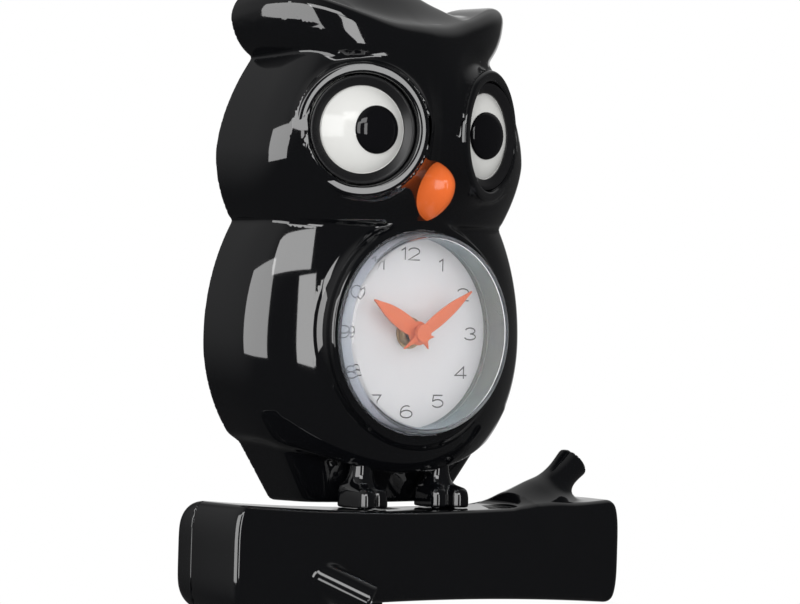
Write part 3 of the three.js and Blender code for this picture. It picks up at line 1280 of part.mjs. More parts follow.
for (const [name, side] of eyeSides) {
  piece(`eye_white_${name}`, placeEye(eyeWhite(), side), "white");
  piece(`eye_bezel_${name}`, placeEye(eyeBezel(), side), "satin");
  piece(`pupil_${name}`, placeEye(pupil(side), side), "pupil");
}
piece("beak", beak(), "orange");

piece("crystal", crystal(), "crystal");
piece("dial", dial(), "dial");
piece("dial_washer", dialWasher(), "brass");
piece("dial_nut", dialNut(), "brass");
dialScrewPlaces.forEach(([x, z], i) => piece(`dial_screw_${i + 1}`,
  screwForward(x, z, wellBack - SEAT_GAP, DIAL_SCREW_FLANGE, SCREW_HEAD_HEIGHT, DIAL_SCREW_LENGTH), "steel"));

piece("movement_case", movementCase(), "casing");
piece("movement_lid", movementLid(), "casing");
piece("centre_wheel", centreWheel(), "wheel");
piece("hour_wheel", hourWheel(), "wheel");
piece("motion_wheel", motionWheel(), "wheel");
piece("third_wheel", thirdWheel(), "wheel");
piece("seconds_wheel", secondsWheel(), "wheel");
piece("set_knob", setKnob(), "casing");
piece("rotor", rotor(), "steel");
piece("stator", stator(), "steel");
piece("motor_coil", motorCoil(), "copper");
piece("circuit_board", circuitBoard(), "board");
piece("battery", battery(), "battery");
for (const [name, side] of eyeSides) piece(`battery_contact_${name}`, batteryContact(side), "steel");

piece("hour_hand", hourHand(), "hands");
piece("minute_hand", minuteHand(), "hands");

piece("pendulum_coil", pendulumCoil(), "copper");
piece("pendulum_pin", pendulumPin(), "steel");
piece("pendulum_hanger", pendulumHanger(), "casing");
piece("pendulum_magnet", pendulumMagnet(), "steel");
piece("pendulum_rod", pendulumRod(), "steel");
piece("pendulum_tail", pendulumTail(), "shell");

piece("log_front", logFront(), "shell");
piece("log_back", logBack(), "shell");
const logScrewSeat = LOG_SPLIT - SEAT_GAP / 2 - LOG_WALL - SEAT_GAP;
const logScrewLength = SCREW_LENGTH + LOG_WALL;
logScrewPlaces.forEach(([x, z], i) => piece(`log_screw_${i + 1}`,
  screwForward(x, z, logScrewSeat, SCREW_HEAD_RADIUS, SCREW_HEAD_HEIGHT, logScrewLength), "steel"));
for (const [name, side] of eyeSides) {
  piece(`foot_${name}`, foot(side), "shell");
  piece(`foot_screw_${name}`, footScrew(side), "steel");
}

const owlClock = new THREE.Group();
owlClock.add(clock);

export default owlClock;
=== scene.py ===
"""Looks of an owl wall clock with a swinging tail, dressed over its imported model.

Sizes are in millimetres from the dial's centre: x to the right, depth out from the wall and height up.
"""

from __future__ import annotations

import logging
import math
from dataclasses import dataclass
from enum import Enum, IntEnum
from functools import lru_cache
from typing import Callable, NamedTuple, Sequence

import bmesh
import bpy
import numpy as np
from mathutils import Matrix, Vector


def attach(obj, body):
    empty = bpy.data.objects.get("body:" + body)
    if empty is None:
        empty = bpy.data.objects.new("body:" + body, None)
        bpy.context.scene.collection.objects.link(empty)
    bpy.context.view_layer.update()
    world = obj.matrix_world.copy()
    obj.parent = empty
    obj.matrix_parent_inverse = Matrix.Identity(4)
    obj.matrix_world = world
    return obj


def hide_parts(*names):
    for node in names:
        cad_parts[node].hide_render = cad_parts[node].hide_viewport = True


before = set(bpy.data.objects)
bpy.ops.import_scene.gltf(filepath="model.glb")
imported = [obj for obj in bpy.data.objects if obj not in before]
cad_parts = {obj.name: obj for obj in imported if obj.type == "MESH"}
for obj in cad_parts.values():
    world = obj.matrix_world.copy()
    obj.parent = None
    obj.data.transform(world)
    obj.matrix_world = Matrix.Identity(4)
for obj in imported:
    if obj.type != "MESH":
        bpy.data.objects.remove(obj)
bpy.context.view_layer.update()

LOG = logging.getLogger("owl_clock")

MM = 0.001
HANG_HEIGHT = 112.0
DIAL_FRONT = 45.0
SEAT_GAP = 0.3
SCREW_RADIUS = 1.5
SCREW_HEAD_RADIUS = 3.4
PIVOT_HEIGHT = 22.0
FAR = 400.0
SLOPE_STEP = 0.05
FLATTEST = 1e-4
TINY = 1e-9
WELD = 1e-7
BLADE_SHARP = 40.0
GROWN_SHARP = 30.0
BEVEL_STEPS = 3

Point = tuple[float, float]
Place = tuple[float, float, float]


class Places(NamedTuple):
    """Places to measure a form at.

    Attributes:
        x: To the right.
        depth: Out from the wall.
        height: Up.
    """

    x: np.ndarray
    depth: np.ndarray
    height: np.ndarray

    @property
    def aside(self) -> np.ndarray:
        """The distance to either side of the middle."""
        return np.abs(self.x)

    @property
    def forward(self) -> np.ndarray:
        """The depth, but no less than at the wall."""
        return np.maximum(self.depth, 0.0)


Form = Callable[[Places], np.ndarray]


class Body(Enum):
    """The bodies that the pieces ride on."""

    CLOCK = "clock"
    MINUTE = "minute"
    HOUR = "hour"
    MOTION = "motion"
    PENDULUM = "pendulum"


class Side(Enum):
    """The two sides of the face, as the viewer sees them."""

    LEFT = -1
    RIGHT = 1

    @property
    def word(self) -> str:
        """The side's name as it ends a piece's name."""
        return self.name.lower()


class Facets(IntEnum):
    """Faces round a turned piece, by the kind of piece."""

    LIP = 160
    DIAL = 128
    EYE = 96
    PUPIL = 72
    HUB = 64
    CAN = 48
    PIN = 40
    WIRE = 32


@dataclass
class Wiring:
    """Adds nodes to a tree and joins them up.

    Attributes:
        tree: The tree that the nodes go in.
    """

    tree: bpy.types.NodeTree

    @classmethod
    def group(cls, name: str, kind: str, takes: dict[str, str], gives: dict[str, str]) -> Wiring:
        """Start a new node group.

        Args:
            name: The group's name.
            kind: Its type of tree.
            takes: The type of each input, by its title.
            gives: The type of each output, by its title.

        Returns:
            The wiring of the new group.
        """
        tree = bpy.data.node_groups.new(name, kind)
        for way, sockets in (("INPUT", takes), ("OUTPUT", gives)):
            for title, socket in sockets.items():
                tree.interface.new_socket(title, in_out=way, socket_type=f"NodeSocket{socket}")
        return cls(tree)

    def feed(self, node: bpy.types.Node, feeds: dict[str | int, object]) -> None:
        """Join a node's inputs to sockets, or set them to fixed values."""
        for key, source in feeds.items():
            if isinstance(source, bpy.types.NodeSocket):
                self.tree.links.new(source, node.inputs[key])
            else:
                node.inputs[key].default_value = source

    def add(self, kind: str, feeds: dict[str | int, object], **traits: object) -> bpy.types.Node:
        """Add one node.

        Args:
            kind: The node's type.
            feeds: The socket or the fixed value of each input.
            traits: The node's own settings.

        Returns:
            The new node.
        """
        node = self.tree.nodes.new(kind)
        for trait, value in traits.items():
            setattr(node, trait, value)
        self.feed(node, feeds)
        return node

    def calc(self, operation: str, *terms: object) -> bpy.types.NodeSocket:
        """Add a calculation with its terms in order, and return its result."""
        return self.add("ShaderNodeMath", dict(enumerate(terms)), operation=operation).outputs[0]

    def cone(self, low: object, high: object, tall: object, sides: int) -> bpy.types.NodeSocket:
        """Add a cut cone that stands on the level plane, and return its mesh."""
        sizes = {"Vertices": sides, "Radius Bottom": low, "Radius Top": high, "Depth": tall}
        return self.add("GeometryNodeMeshCone", sizes).outputs["Mesh"]

    def raised(self, shape: bpy.types.NodeSocket, rise: object) -> bpy.types.NodeSocket:
        """Move a shape up and return it."""
        way = self.add("ShaderNodeCombineXYZ", {"Z": rise}).outputs[0]
        return self.add("GeometryNodeTransform", {"Geometry": shape, "Translation": way}).outputs["Geometry"]

    def scatter(
        self, given: bpy.types.NodeOutputs, shape: bpy.types.NodeSocket, turn: Place = (0.0, 0.0, 0.0)
    ) -> None:
        """Set a shape at each given point, paint it and make it the group's result.

        Args:
            given: The group's inputs, with the points and the finish.
            shape: The shape to repeat.
            turn: The turn of each copy about x, y and z.
        """
        copies = {"Points": given["Geometry"], "Instance": shape, "Rotation": turn}
        spread = self.add("GeometryNodeInstanceOnPoints", copies).outputs["Instances"]
        solid = self.add("GeometryNodeRealizeInstances", {"Geometry": spread}).outputs["Geometry"]
        painted = self.add("GeometryNodeSetMaterial", {"Geometry": solid, "Material": given["Finish"]})
        self.add("NodeGroupOutput", {"Geometry": painted.outputs["Geometry"]})


@lru_cache(maxsize=None)
def surface_detail() -> bpy.types.NodeTree:
    """Build the shared shader group for the small unevenness of a moulded, painted or turned surface.

    Returns:
        The node group, with a drifting colour, a drifting roughness and a grain height as outputs.
    """
    wire = Wiring.group(
        "surface_detail", "ShaderNodeTree",
        {"Colour": "Color", **dict.fromkeys(("Shade", "Roughness", "Mottle", "Grain Scale"), "Float")},
        {"Colour": "Color", "Roughness": "Float", "Height": "Float"},
    )
    given = wire.add("NodeGroupInput", {}).outputs
    place = wire.add("ShaderNodeTexCoord", {}).outputs["Object"]
    grains = []
    for scale, detail in ((28.0, 3.0), (given["Grain Scale"], 2.0)):
        noise = wire.add("ShaderNodeTexNoise", {"Vector": place, "Scale": scale, "Detail": detail})
        grains.append(noise.outputs["Fac"])
    broad, fine = (wire.calc("SUBTRACT", grain, 0.5) for grain in grains)
    shade = wire.calc("MULTIPLY_ADD", broad, given["Shade"], 1.0)
    tint = wire.add("ShaderNodeVectorMath", {0: given["Colour"], "Scale": shade}, operation="SCALE")
    mixed = wire.calc("ADD", broad, fine)
    rough = wire.add(
        "ShaderNodeMath", {0: mixed, 1: given["Mottle"], 2: given["Roughness"]},
        operation="MULTIPLY_ADD", use_clamp=True,
    )
    results = {"Colour": tint.outputs[0], "Roughness": rough.outputs[0], "Height": grains[1]}
    wire.add("NodeGroupOutput", results)
    return wire.tree


@dataclass(frozen=True)
class Finish:
    """One surface finish with the small unevenness that a real one has.

    Attributes:
        name: The material's name.
        slot: The record's material slot that it belongs to; not used.
        colour: Its linear base colour.
        roughness: Its middle roughness.
        metallic: 1 for bare metal.
        shade: How far the colour drifts over the piece.
        mottle: How far the roughness drifts.
        grain_scale: The grain's fineness, per metre.
        grain_height: The grain's relief, in millimetres.
        ior: The refractive index, which sets the gloss.
        transmission: 1 for clear plastic.
        film: The thickness of a thin film that shimmers, in nanometres.
        lacquer: 1 under a coat of clear lacquer.
    """

    name: str
    slot: str
    colour: Place
    roughness: float
    metallic: float = 0.0
    shade: float = 0.08
    mottle: float = 0.04
    grain_scale: float = 900.0
    grain_height: float = 0.004
    ior: float = 1.5
    transmission: float = 0.0
    film: float = 0.0
    lacquer: float = 0.0

    @lru_cache(maxsize=None)
    def material(self) -> bpy.types.Material:
        """Return the finish as a node material, made on first use."""
        material = bpy.data.materials.new(self.name)
        material.use_nodes = True
        wire = Wiring(material.node_tree)
        colour = (*self.colour, 1.0)
        detail = wire.add("ShaderNodeGroup", {
            "Colour": colour,
            "Shade": self.shade,
            "Roughness": self.roughness,
            "Mottle": self.mottle,
            "Grain Scale": self.grain_scale,
        }, node_tree=surface_detail()).outputs
        shader = wire.tree.nodes["Principled BSDF"]
        wire.feed(shader, {
            "Metallic": self.metallic,
            "IOR": self.ior,
            "Transmission Weight": self.transmission,
            "Thin Film Thickness": self.film,
            "Coat Weight": self.lacquer,
            "Base Color": detail["Colour"] if self.shade > 0 else colour,
            "Roughness": detail["Roughness"],
        })
        if self.grain_height > 0:
            relief = {"Strength": 1.0, "Distance": self.grain_height * MM, "Height": detail["Height"]}
            wire.feed(shader, {"Normal": wire.add("ShaderNodeBump", relief).outputs["Normal"]})
        return material


GLOSS_BLACK = Finish(
    "gloss_black", "shell_black", (0.0026, 0.0028, 0.0036), 0.05,
    mottle=0.03, grain_scale=60.0, grain_height=0.012, lacquer=1.0,
)
SATIN_BLACK = Finish(
    "satin_black", "inner_black", (0.012, 0.0122, 0.0135), 0.42,
    mottle=0.12, grain_scale=2200.0, grain_height=0.03,
)
BEZEL_GREY = Finish(
    "bezel_grey", "bezel_grey", (0.009, 0.009, 0.01), 0.3, mottle=0.08, grain_scale=1600.0, grain_height=0.01,
)
EYE_WHITE = Finish("eye_white", "eye_white", (0.8, 0.8, 0.775), 0.12, shade=0.03)
PUPIL_BLACK = Finish(
    "pupil_black", "pupil_black", (0.004, 0.004, 0.005), 0.06, mottle=0.02, grain_height=0.002,
)
BEAK_ORANGE = Finish("beak_orange", "beak_orange", (0.87, 0.165, 0.035), 0.16, shade=0.05)
HAND_ORANGE = Finish(
    "hand_orange", "hand_orange", (0.84, 0.17, 0.055), 0.5,
    shade=0.05, mottle=0.1, grain_scale=3000.0, grain_height=0.006,
)
CLEAR = Finish(
    "clear_cap", "clear", (1.0, 1.0, 1.0), 0.0,
    shade=0.0, mottle=0.012, grain_height=0.0, ior=1.49, transmission=1.0,
)
# Painted sheen: the clear cap's side wall gets a pale milky colour that stands in for light piped along the
# clear wall. The thin film adds a rendered coloured shimmer.
CLEAR_WALL_PAINTED_SHEEN = Finish(
    "clear_wall_painted_sheen", "clear", (0.78, 0.82, 0.87), 0.06,
    shade=0.03, mottle=0.05, grain_height=0.0, ior=1.49, transmission=0.8, film=520.0,
)
DIAL_WHITE = Finish(
    "dial_white", "dial_white", (0.8, 0.8, 0.82), 0.62,
    shade=0.02, mottle=0.1, grain_scale=2600.0, grain_height=0.01,
)
DIAL_INK = Finish("dial_ink", "dial_white", (0.045, 0.045, 0.05), 0.6, shade=0.1, mottle=0.1)
BRASS = Finish("brass", "brass", (0.38, 0.27, 0.15), 0.3, metallic=1.0, shade=0.2, mottle=0.15)
STEEL = Finish("steel", "steel", (0.42, 0.42, 0.43), 0.3, metallic=1.0, shade=0.15, mottle=0.15)
COPPER = Finish("copper", "copper", (0.55, 0.2, 0.09), 0.35, metallic=1.0, shade=0.15, mottle=0.15)
BOARD = Finish("board_green", "board", (0.03, 0.14, 0.05), 0.5, shade=0.2, mottle=0.15)
NYLON = Finish("wheel_nylon", "wheel_nylon", (0.78, 0.74, 0.62), 0.4, shade=0.06, mottle=0.08)
WRAP = Finish("battery_wrap", "battery_wrap", (0.05, 0.055, 0.065), 0.28, shade=0.06, mottle=0.08)
PALE_FLOOR = Finish("pale_floor", "dial_white", (0.8, 0.8, 0.8), 0.7, shade=0.02)


def soft_min(first: np.ndarray, second: np.ndarray, width: float) -> np.ndarray:
    """Join two forms with a fillet of about the given width."""
    blend = np.maximum(width - np.abs(first - second), 0.0) / width
    return np.minimum(first, second) - blend * blend * width * 0.25


def soft_max(first: np.ndarray, second: np.ndarray, width: float) -> np.ndarray:
    """Keep what two forms share, with an edge rounded by about the given width."""
    return -soft_min(-first, -second, width)


def squircle(across: np.ndarray, along: np.ndarray) -> np.ndarray:
    """Join two shares into a rounded square: 1 on its edge, less inside."""
    return (across ** 4 + along ** 4) ** 0.25


def even_distance(form: Form, at: Places) -> np.ndarray:
    """Scale a form by its own slope, so that it counts millimetres near its surface.

    Args:
        form: The form, below zero inside.
        at: The places to measure.

    Returns:
        About the distance from the surface, in millimetres.
    """
    here = form(at)
    square = 0.0
    for axis in range(len(at)):
        ahead = list(at)
        ahead[axis] = ahead[axis] + SLOPE_STEP
        square = square + ((form(Places(*ahead)) - here) / SLOPE_STEP) ** 2
    return here / np.maximum(np.sqrt(square), FLATTEST)


def rod_form(at: Places, radius: float, axis: Point) -> np.ndarray:
    """Distance from a round bar along the depth."""
    return np.hypot(at.x - axis[0], at.height - axis[1]) - radius


def between(place: np.ndarray, low: float, high: float) -> np.ndarray:
    """Distance outside two limits, below zero between them."""
    return np.maximum(low - place, place - high)


def sink_form(at: Places, axis: Point, floor: float) -> np.ndarray:
    """Distance from the room of a screw's head that goes in from behind, up to a depth."""
    return np.maximum(rod_form(at, SCREW_HEAD_RADIUS + SEAT_GAP, axis), at.depth - floor)


def block_form(at: Places, low: Place, high: Place, edge: float) -> np.ndarray:
    """Distance from a block with rounded edges.

    Args:
        at: The places to measure.
        low: The block's lowest x, depth and height.
        high: The block's highest x, depth and height.
        edge: The radius of its edges.

    Returns:
        The distance in millimetres, below zero inside.
    """
    outside = []
    for place, start, end in zip(at, low, high):
        outside.append(np.abs(place - (start + end) / 2) - (end - start) / 2 + edge)
    beyond = np.sqrt(sum(np.maximum(reach, 0.0) ** 2 for reach in outside))
    within = np.minimum(np.maximum(np.maximum(outside[0], outside[1]), outside[2]), 0.0)
    return beyond + within - edge


def smooth_curve(corners: Sequence[Point], steps: int = 24) -> np.ndarray:
    """Draw a smooth curve through points.

    Args:
        corners: The points to go through.
        steps: Straight pieces between two points.

    Returns:
        The curve's points, one per row.
    """
    points = np.array(corners, float)
    padded = np.vstack([2 * points[0] - points[1], points, 2 * points[-1] - points[-2]])
    share = np.linspace(0, 1, steps, endpoint=False)[:, None]
    runs = []
    for i in range(len(points) - 1):
        before, start, end, after = padded[i:i + 4]
        run = 2 * start + (end - before) * share
        run = run + (2 * before - 5 * start + 4 * end - after) * share ** 2
        run = run + (3 * start - before - 3 * end + after) * share ** 3
        runs.append(run / 2)
    return np.vstack([*runs, points[-1:]])


def circle(radius: float, count: int) -> list[Point]:
    """Points spread evenly round a circle."""
    turns = [2 * math.pi * k / count for k in range(count)]
    return [(radius * math.cos(turn), radius * math.sin(turn)) for turn in turns]


def direction(azimuth: float, elevation: float) -> Vector:
    """The direction to the right of straight in front and above the level, by two angles in radians."""
    level = math.cos(elevation)
    return Vector((math.sin(azimuth) * level, -math.cos(azimuth) * level, math.sin(elevation)))


def linked(name: str, data: bpy.types.ID) -> bpy.types.Object:
    """Make an object and put it in the scene."""
    made = bpy.data.objects.new(name, data)
    bpy.context.scene.collection.objects.link(made)
    return made


def smoothed(mesh: bpy.types.Mesh, angle: float) -> None:
    """Shade a mesh smooth, apart from edges that turn by more than an angle in degrees."""
    mesh.shade_smooth()
    mesh.set_sharp_from_angle(angle=math.radians(angle))


def place_object(
    name: str,
    points: Sequence[Place] | np.ndarray,
    faces: Sequence[Sequence[int]],
    normals: np.ndarray | None = None,
    angle: float = 32.0,
) -> bpy.types.Object:
    """Make a mesh object from points in millimetres.

    Args:
        name: The piece's name.
        points: Rows of x, y and height, where y is the depth turned round.
        faces: The corners of each face.
        normals: The surface's own directions at each point, or none to take them from the faces.
        angle: Edges that turn more than this stay sharp.

    Returns:
        The new object, with its place in its mesh.
    """
    mesh = bpy.data.meshes.new(name)
    placed = (np.asarray(points, float) - (0.0, 0.0, HANG_HEIGHT)) * MM
    mesh.from_pydata(placed.tolist(), [], faces)
    if normals is None:
        work = bmesh.new()
        work.from_mesh(mesh)
        bmesh.ops.remove_doubles(work, verts=work.verts, dist=WELD)
        bmesh.ops.recalc_face_normals(work, faces=work.faces)
        work.to_mesh(mesh)
        work.free()
        smoothed(mesh, angle)
    else:
        mesh.shade_smooth()
        mesh.normals_split_custom_set_from_vertices(normals.tolist())
    mesh.update()
    return linked(name, mesh)


@dataclass
class SkinMesher:
    """Turns a form into a mesh whose points lie on its surface.

    Attributes:
        low: The lowest x, depth and height to look at.
        high: The highest x, depth and height to look at.
        cell: The size of one face.
        before: Room before the low corner, in cells.
        beyond: Room past the high corner, in cells.
        step: How far to each side a slope is read.
        rounds: How often the points are moved to the surface.
        stride: The longest move in one round, in cells.
        least_square: The least squared slope that a move counts with.
    """

    low: Place
    high: Place
    cell: float
    before: float = 1.37
    beyond: float = 1.5
    step: float = 0.08
    rounds: int = 4
    stride: float = 0.6
    least_square: float = 0.05

    def mesh(self, name: str, form: Form) -> bpy.types.Object:
        """Mesh one form.

        Args:
            name: The piece's name.
            form: The form, below zero inside.

        Returns:
            The new object.
        """
        corner = np.array((self.low[0], -self.high[1], self.low[2]), float) - self.cell * self.before
        reach = np.array((self.high[0], -self.low[1], self.high[2]), float) + self.cell * self.beyond
        counts = np.ceil((reach - corner) / self.cell).astype(int) + 1
        axes = [corner[i] + self.cell * np.arange(counts[i]) for i in range(3)]
        x, y, height = np.meshgrid(*axes, indexing="ij")
        centres, faces = self.net(form(Places(x, -y, height)))
        points = self.settle(form, corner + centres * self.cell)
        normals = self.slope(form, points)[1]
        normals = normals / np.maximum(np.linalg.norm(normals, axis=1, keepdims=True), TINY)
        return place_object(name, points, faces.tolist(), normals)

    def net(self, values: np.ndarray) -> tuple[np.ndarray, np.ndarray]:
        """Find one point in each cell that the surface crosses, and the faces between them.

        Args:
            values: The form at the corners of all cells.

        Returns:
            The points in cell units, and four points for each face.
        """
        cells = tuple(n - 1 for n in values.shape)
        total = np.zeros((*cells, 3))
        crossings = np.zeros(cells)
        edges = []
        for axis in range(3):
            ends = [slice(None)] * 3
            starts = [slice(None)] * 3
            ends[axis] = slice(1, None)
            starts[axis] = slice(None, -1)
            start = values[tuple(starts)]
            end = values[tuple(ends)]
            at = np.argwhere((start < 0) != (end < 0))
            first = start[tuple(at.T)]
            last = end[tuple(at.T)]
            place = at.astype(float)
            place[:, axis] += first / (first - last)
            others = [(axis + 1) % 3, (axis + 2) % 3]
            corners = []
            kept = np.ones(len(at), bool)
            for back_one, back_two in ((1, 1), (0, 1), (0, 0), (1, 0)):
                cell = at.copy()
                cell[:, others[0]] -= back_one
                cell[:, others[1]] -= back_two
                inside = np.all((cell >= 0) & (cell < cells), axis=1)
                kept &= inside
                np.add.at(total, tuple(cell[inside].T), place[inside])
                np.add.at(crossings, tuple(cell[inside].T), 1)
                corners.append(cell)
            edges.append((corners, kept, first < 0))
        used = crossings > 0
        number = np.full(cells, -1)
        number[used] = np.arange(used.sum())
        faces = []
        for corners, kept, outward in edges:
            quads = np.stack([number[tuple(cell[kept].T)] for cell in corners], axis=1)
            turned_round = ~outward[kept]
            quads[turned_round] = quads[turned_round][:, ::-1]
            faces.append(quads)
        return total[used] / crossings[used][:, None], np.vstack(faces)

    def slope(self, form: Form, points: np.ndarray) -> tuple[np.ndarray, np.ndarray]:
        """Read a form and its slope at points.

        Args:
            form: The form.
            points: Rows of x, y and height.

        Returns:
            The form's values and its slopes.
        """
        def value(rows: np.ndarray) -> np.ndarray:
            """The form at rows of points."""
            return form(Places(rows[:, 0], -rows[:, 1], rows[:, 2]))

        steps = np.eye(3) * self.step
        slopes = [(value(points + step) - value(points - step)) / (2 * self.step) for step in steps]
        return value(points), np.stack(slopes, axis=1)

    def settle(self, form: Form, points: np.ndarray) -> np.ndarray:
        """Move points along the slope until they lie on the surface."""
        limit = self.cell * self.stride
        for _ in range(self.rounds):
            here, slope = self.slope(form, points)
            square = np.maximum((slope ** 2).sum(axis=1), self.least_square)
            points = points - np.clip(here / square, -limit, limit)[:, None] * slope
        return points


@dataclass
class Corner:
    """One corner of a turned profile.

    Attributes:
        radius: The distance from the axis.
        depth: The place along the axis.
        round: The radius of the corner's rounding.
    """

    radius: float
    depth: float
    round: float = 0.0

    @property
    def spot(self) -> Vector:
        """The corner's place in the profile."""
        return Vector((self.radius, self.depth))


def rounded_profile(*corners: Corner) -> list[Point]:
    """Round the corners of a closed profile.

    Args:
        corners: The profile's corners in order.

    Returns:
        The profile's points.
    """
    steps = 5
    longest = 0.49
    points: list[Point] = []
    for i, corner in enumerate(corners):
        here = corner.spot
        if corner.round <= 0:
            points.append((here.x, here.y))
            continue
        before = corners[i - 1].spot - here
        after = corners[(i + 1) % len(corners)].spot - here
        reach = min(corner.round, before.length * longest, after.length * longest)
        start = here + before.normalized() * reach
        end = here + after.normalized() * reach
        for k in range(steps + 1):
            share = k / steps
            bend = start * (1 - share) ** 2 + here * (2 * share * (1 - share)) + end * share ** 2
            points.append((bend.x, bend.y))
    return points


def slug(radius: float, near: float, far: float, near_round: float, far_round: float) -> list[Point]:
    """The profile of a solid round piece with two rounded rims."""
    back = Corner(radius, near, near_round)
    front = Corner(radius, far, far_round)
    return rounded_profile(Corner(0.0, near), back, front, Corner(0.0, far))


def washer(hole: float, radius: float, near: float, far: float, rim_round: float) -> list[Point]:
    """The profile of a flat ring with a rounded front."""
    rim = Corner(radius, far, rim_round)
    bore = Corner(hole, far, 0.1)
    return rounded_profile(Corner(hole, near), Corner(radius, near), rim, bore)


def turned(name: str, profile: Sequence[Point], sides: int, place: Matrix | None = None) -> bpy.types.Object:
    """Turn a profile about the depth direction.

    Args:
        name: The piece's name.
        profile: Radius and depth pairs; it closes on itself unless both ends lie on the axis.
        sides: Faces round the axis.
        place: Where the axis goes, or none for the dial's centre.

    Returns:
        The new object.
    """
    on_axis = profile[0][0] == 0 and profile[-1][0] == 0
    rows = len(profile)
    points = [Vector((x, -depth, height)) for radius, depth in profile for x, height in circle(radius, sides)]
    if place is not None:
        points = [place @ point for point in points]
    faces = []
    for row in range(rows - 1 if on_axis else rows):
        next_row = (row + 1) % rows
        near = row * sides
        far = next_row * sides
        for k in range(sides):
            after = (k + 1) % sides
            if profile[row][0] == 0:
                faces.append((near, far + after, far + k))
            elif profile[next_row][0] == 0:
                faces.append((near + k, near + after, far))
            else:
                faces.append((near + k, near + after, far + after, far + k))
    used = sorted({i for face in faces for i in face})
    renumbered = {old: new for new, old in enumerate(used)}
    kept = [points[i] for i in used]
    return place_object(name, kept, [tuple(renumbered[i] for i in face) for face in faces])


def plate(name: str, outline: Sequence[Point], near: float, far: float, edge: float) -> bpy.types.Object:
    """Give a flat outline thickness and softened edges.

    Args:
        name: The piece's name.
        outline: Points in x and height.
        near: The back's depth.
        far: The front's depth.
        edge: The width of the softened edges.

    Returns:
        The new object.
    """
    count = len(outline)
    points = [(x, -depth, height) for depth in (near, far) for x, height in outline]
    faces: list[tuple[int, ...]] = [tuple(range(count)), tuple(range(2 * count - 1, count - 1, -1))]
    for i in range(count):
        after = (i + 1) % count
        faces.append((i, after, after + count, i + count))
    made = place_object(name, points, faces)
    work = bmesh.new()
    work.from_mesh(made.data)
    rims = [
        side for side in work.edges
        if len(side.link_faces) == 2 and any(len(face.verts) == count for face in side.link_faces)
    ]
    bmesh.ops.bevel(
        work, geom=rims, offset=edge * MM, segments=BEVEL_STEPS, profile=0.5,
        affect="EDGES", clamp_overlap=True,
    )
    bmesh.ops.recalc_face_normals(work, faces=work.faces)
    work.to_mesh(made.data)
    work.free()
    smoothed(made.data, BLADE_SHARP)
    return made


def grown(
    name: str, points: Sequence[Place], tree: bpy.types.NodeTree, sizes: dict[str, object]
) -> bpy.types.Object:
    """Run a geometry node tree on points and keep its result as a plain mesh.

    Args:
        name: The finished piece's name.
        points: Rows of x, y and height that the tree starts from.
        tree: The tree.
        sizes: Its named inputs.

    Returns:
        The finished piece.
    """
    seeds = place_object(name + "_points", points, [])
    modifier = seeds.modifiers.new("grow", "NODES")
    modifier.node_group = tree
    for socket in tree.interface.items_tree:
        if socket.in_out == "INPUT" and socket.name in sizes:
            modifier[socket.identifier] = sizes[socket.name]
    bpy.context.view_layer.update()
    graph = bpy.context.evaluated_depsgraph_get()
    mesh = bpy.data.meshes.new_from_object(seeds.evaluated_get(graph))
    mesh.name = name
    bpy.data.objects.remove(seeds)
    smoothed(mesh, GROWN_SHARP)
    return linked(name, mesh)


def dress(made: bpy.types.Object, finish: Finish, body: Body, *nodes: str) -> bpy.types.Object:
    """Give a piece its finish, its body and the nodes that it stands for.

    Args:
        made: The piece.
        finish: Its finish.
        body: The body that it rides on.
        nodes: The nodes that it replaces.

    Returns:
        The same piece.
    """
    made.data.materials.clear()
    made.data.materials.append(finish.material())
    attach(made, body.value)
    if nodes:
        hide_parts(*nodes)
    LOG.info("%s on %s, %d faces", made.name, body.value, len(made.data.polygons))
    return made


def refinish(finish: Finish, *nodes: str) -> None:
    """Give nodes that keep their own solid a better finish."""
    for name in nodes:
        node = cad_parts[name]
        node.data.materials.clear()
        node.data.materials.append(finish.material())
        LOG.info("%s keeps its solid", name)


@dataclass
class EyePlace:
    """Where the two eyes sit on the face."""

    x: float = 38.7
    height: float = 100.2
    depth: float = 53.0
    turn: float = math.radians(20)
    lip_turn: float = math.radians(28.5)

    def matrix(self, side: Side, turn: float) -> Matrix:
        """The place of one eye or its lip, with its axis turned out from straight ahead."""
        spot = Vector((side.value * self.x, -self.depth, self.height))
        return Matrix.Translation(spot) @ Matrix.Rotation(side.value * turn, 4, "Z")

    def along_and_out(self, at: Places, turn: float) -> tuple[np.ndarray, np.ndarray]:
        """Measure along and out from the axis of the nearer eye.

        Args:
            at: The places to measure.
            turn: The axis's turn out from straight ahead.

        Returns:
            Distance along the axis and distance from it.
        """
        across = at.aside - self.x
        forward = at.depth - self.depth
        along = math.sin(turn) * across + math.cos(turn) * forward
        sideways = math.cos(turn) * across - math.sin(turn) * forward
        return along, np.hypot(sideways, at.height - self.height)


@dataclass(frozen=True)
class LevelProfile:
    """How a form narrows above and below its middle.

    Attributes:
        rise: Its reach upwards.
        rise_fullness: 2 for an oval upper half, less for a slimmer one.
        fall: Its reach downwards.
        fall_fullness: The same for the lower half.
    """

    rise: float
    rise_fullness: float
    fall: float
    fall_fullness: float

    def limit(self, wide: np.ndarray, above: np.ndarray) -> np.ndarray:
        """Join a place's share across with its height: 1 on the surface, less inside."""
        fullness = np.where(above > 0, self.rise_fullness, self.fall_fullness)
        tall = np.abs(above) / np.where(above > 0, self.rise, self.fall)
        return (wide ** fullness + tall ** fullness) ** (1 / fullness)


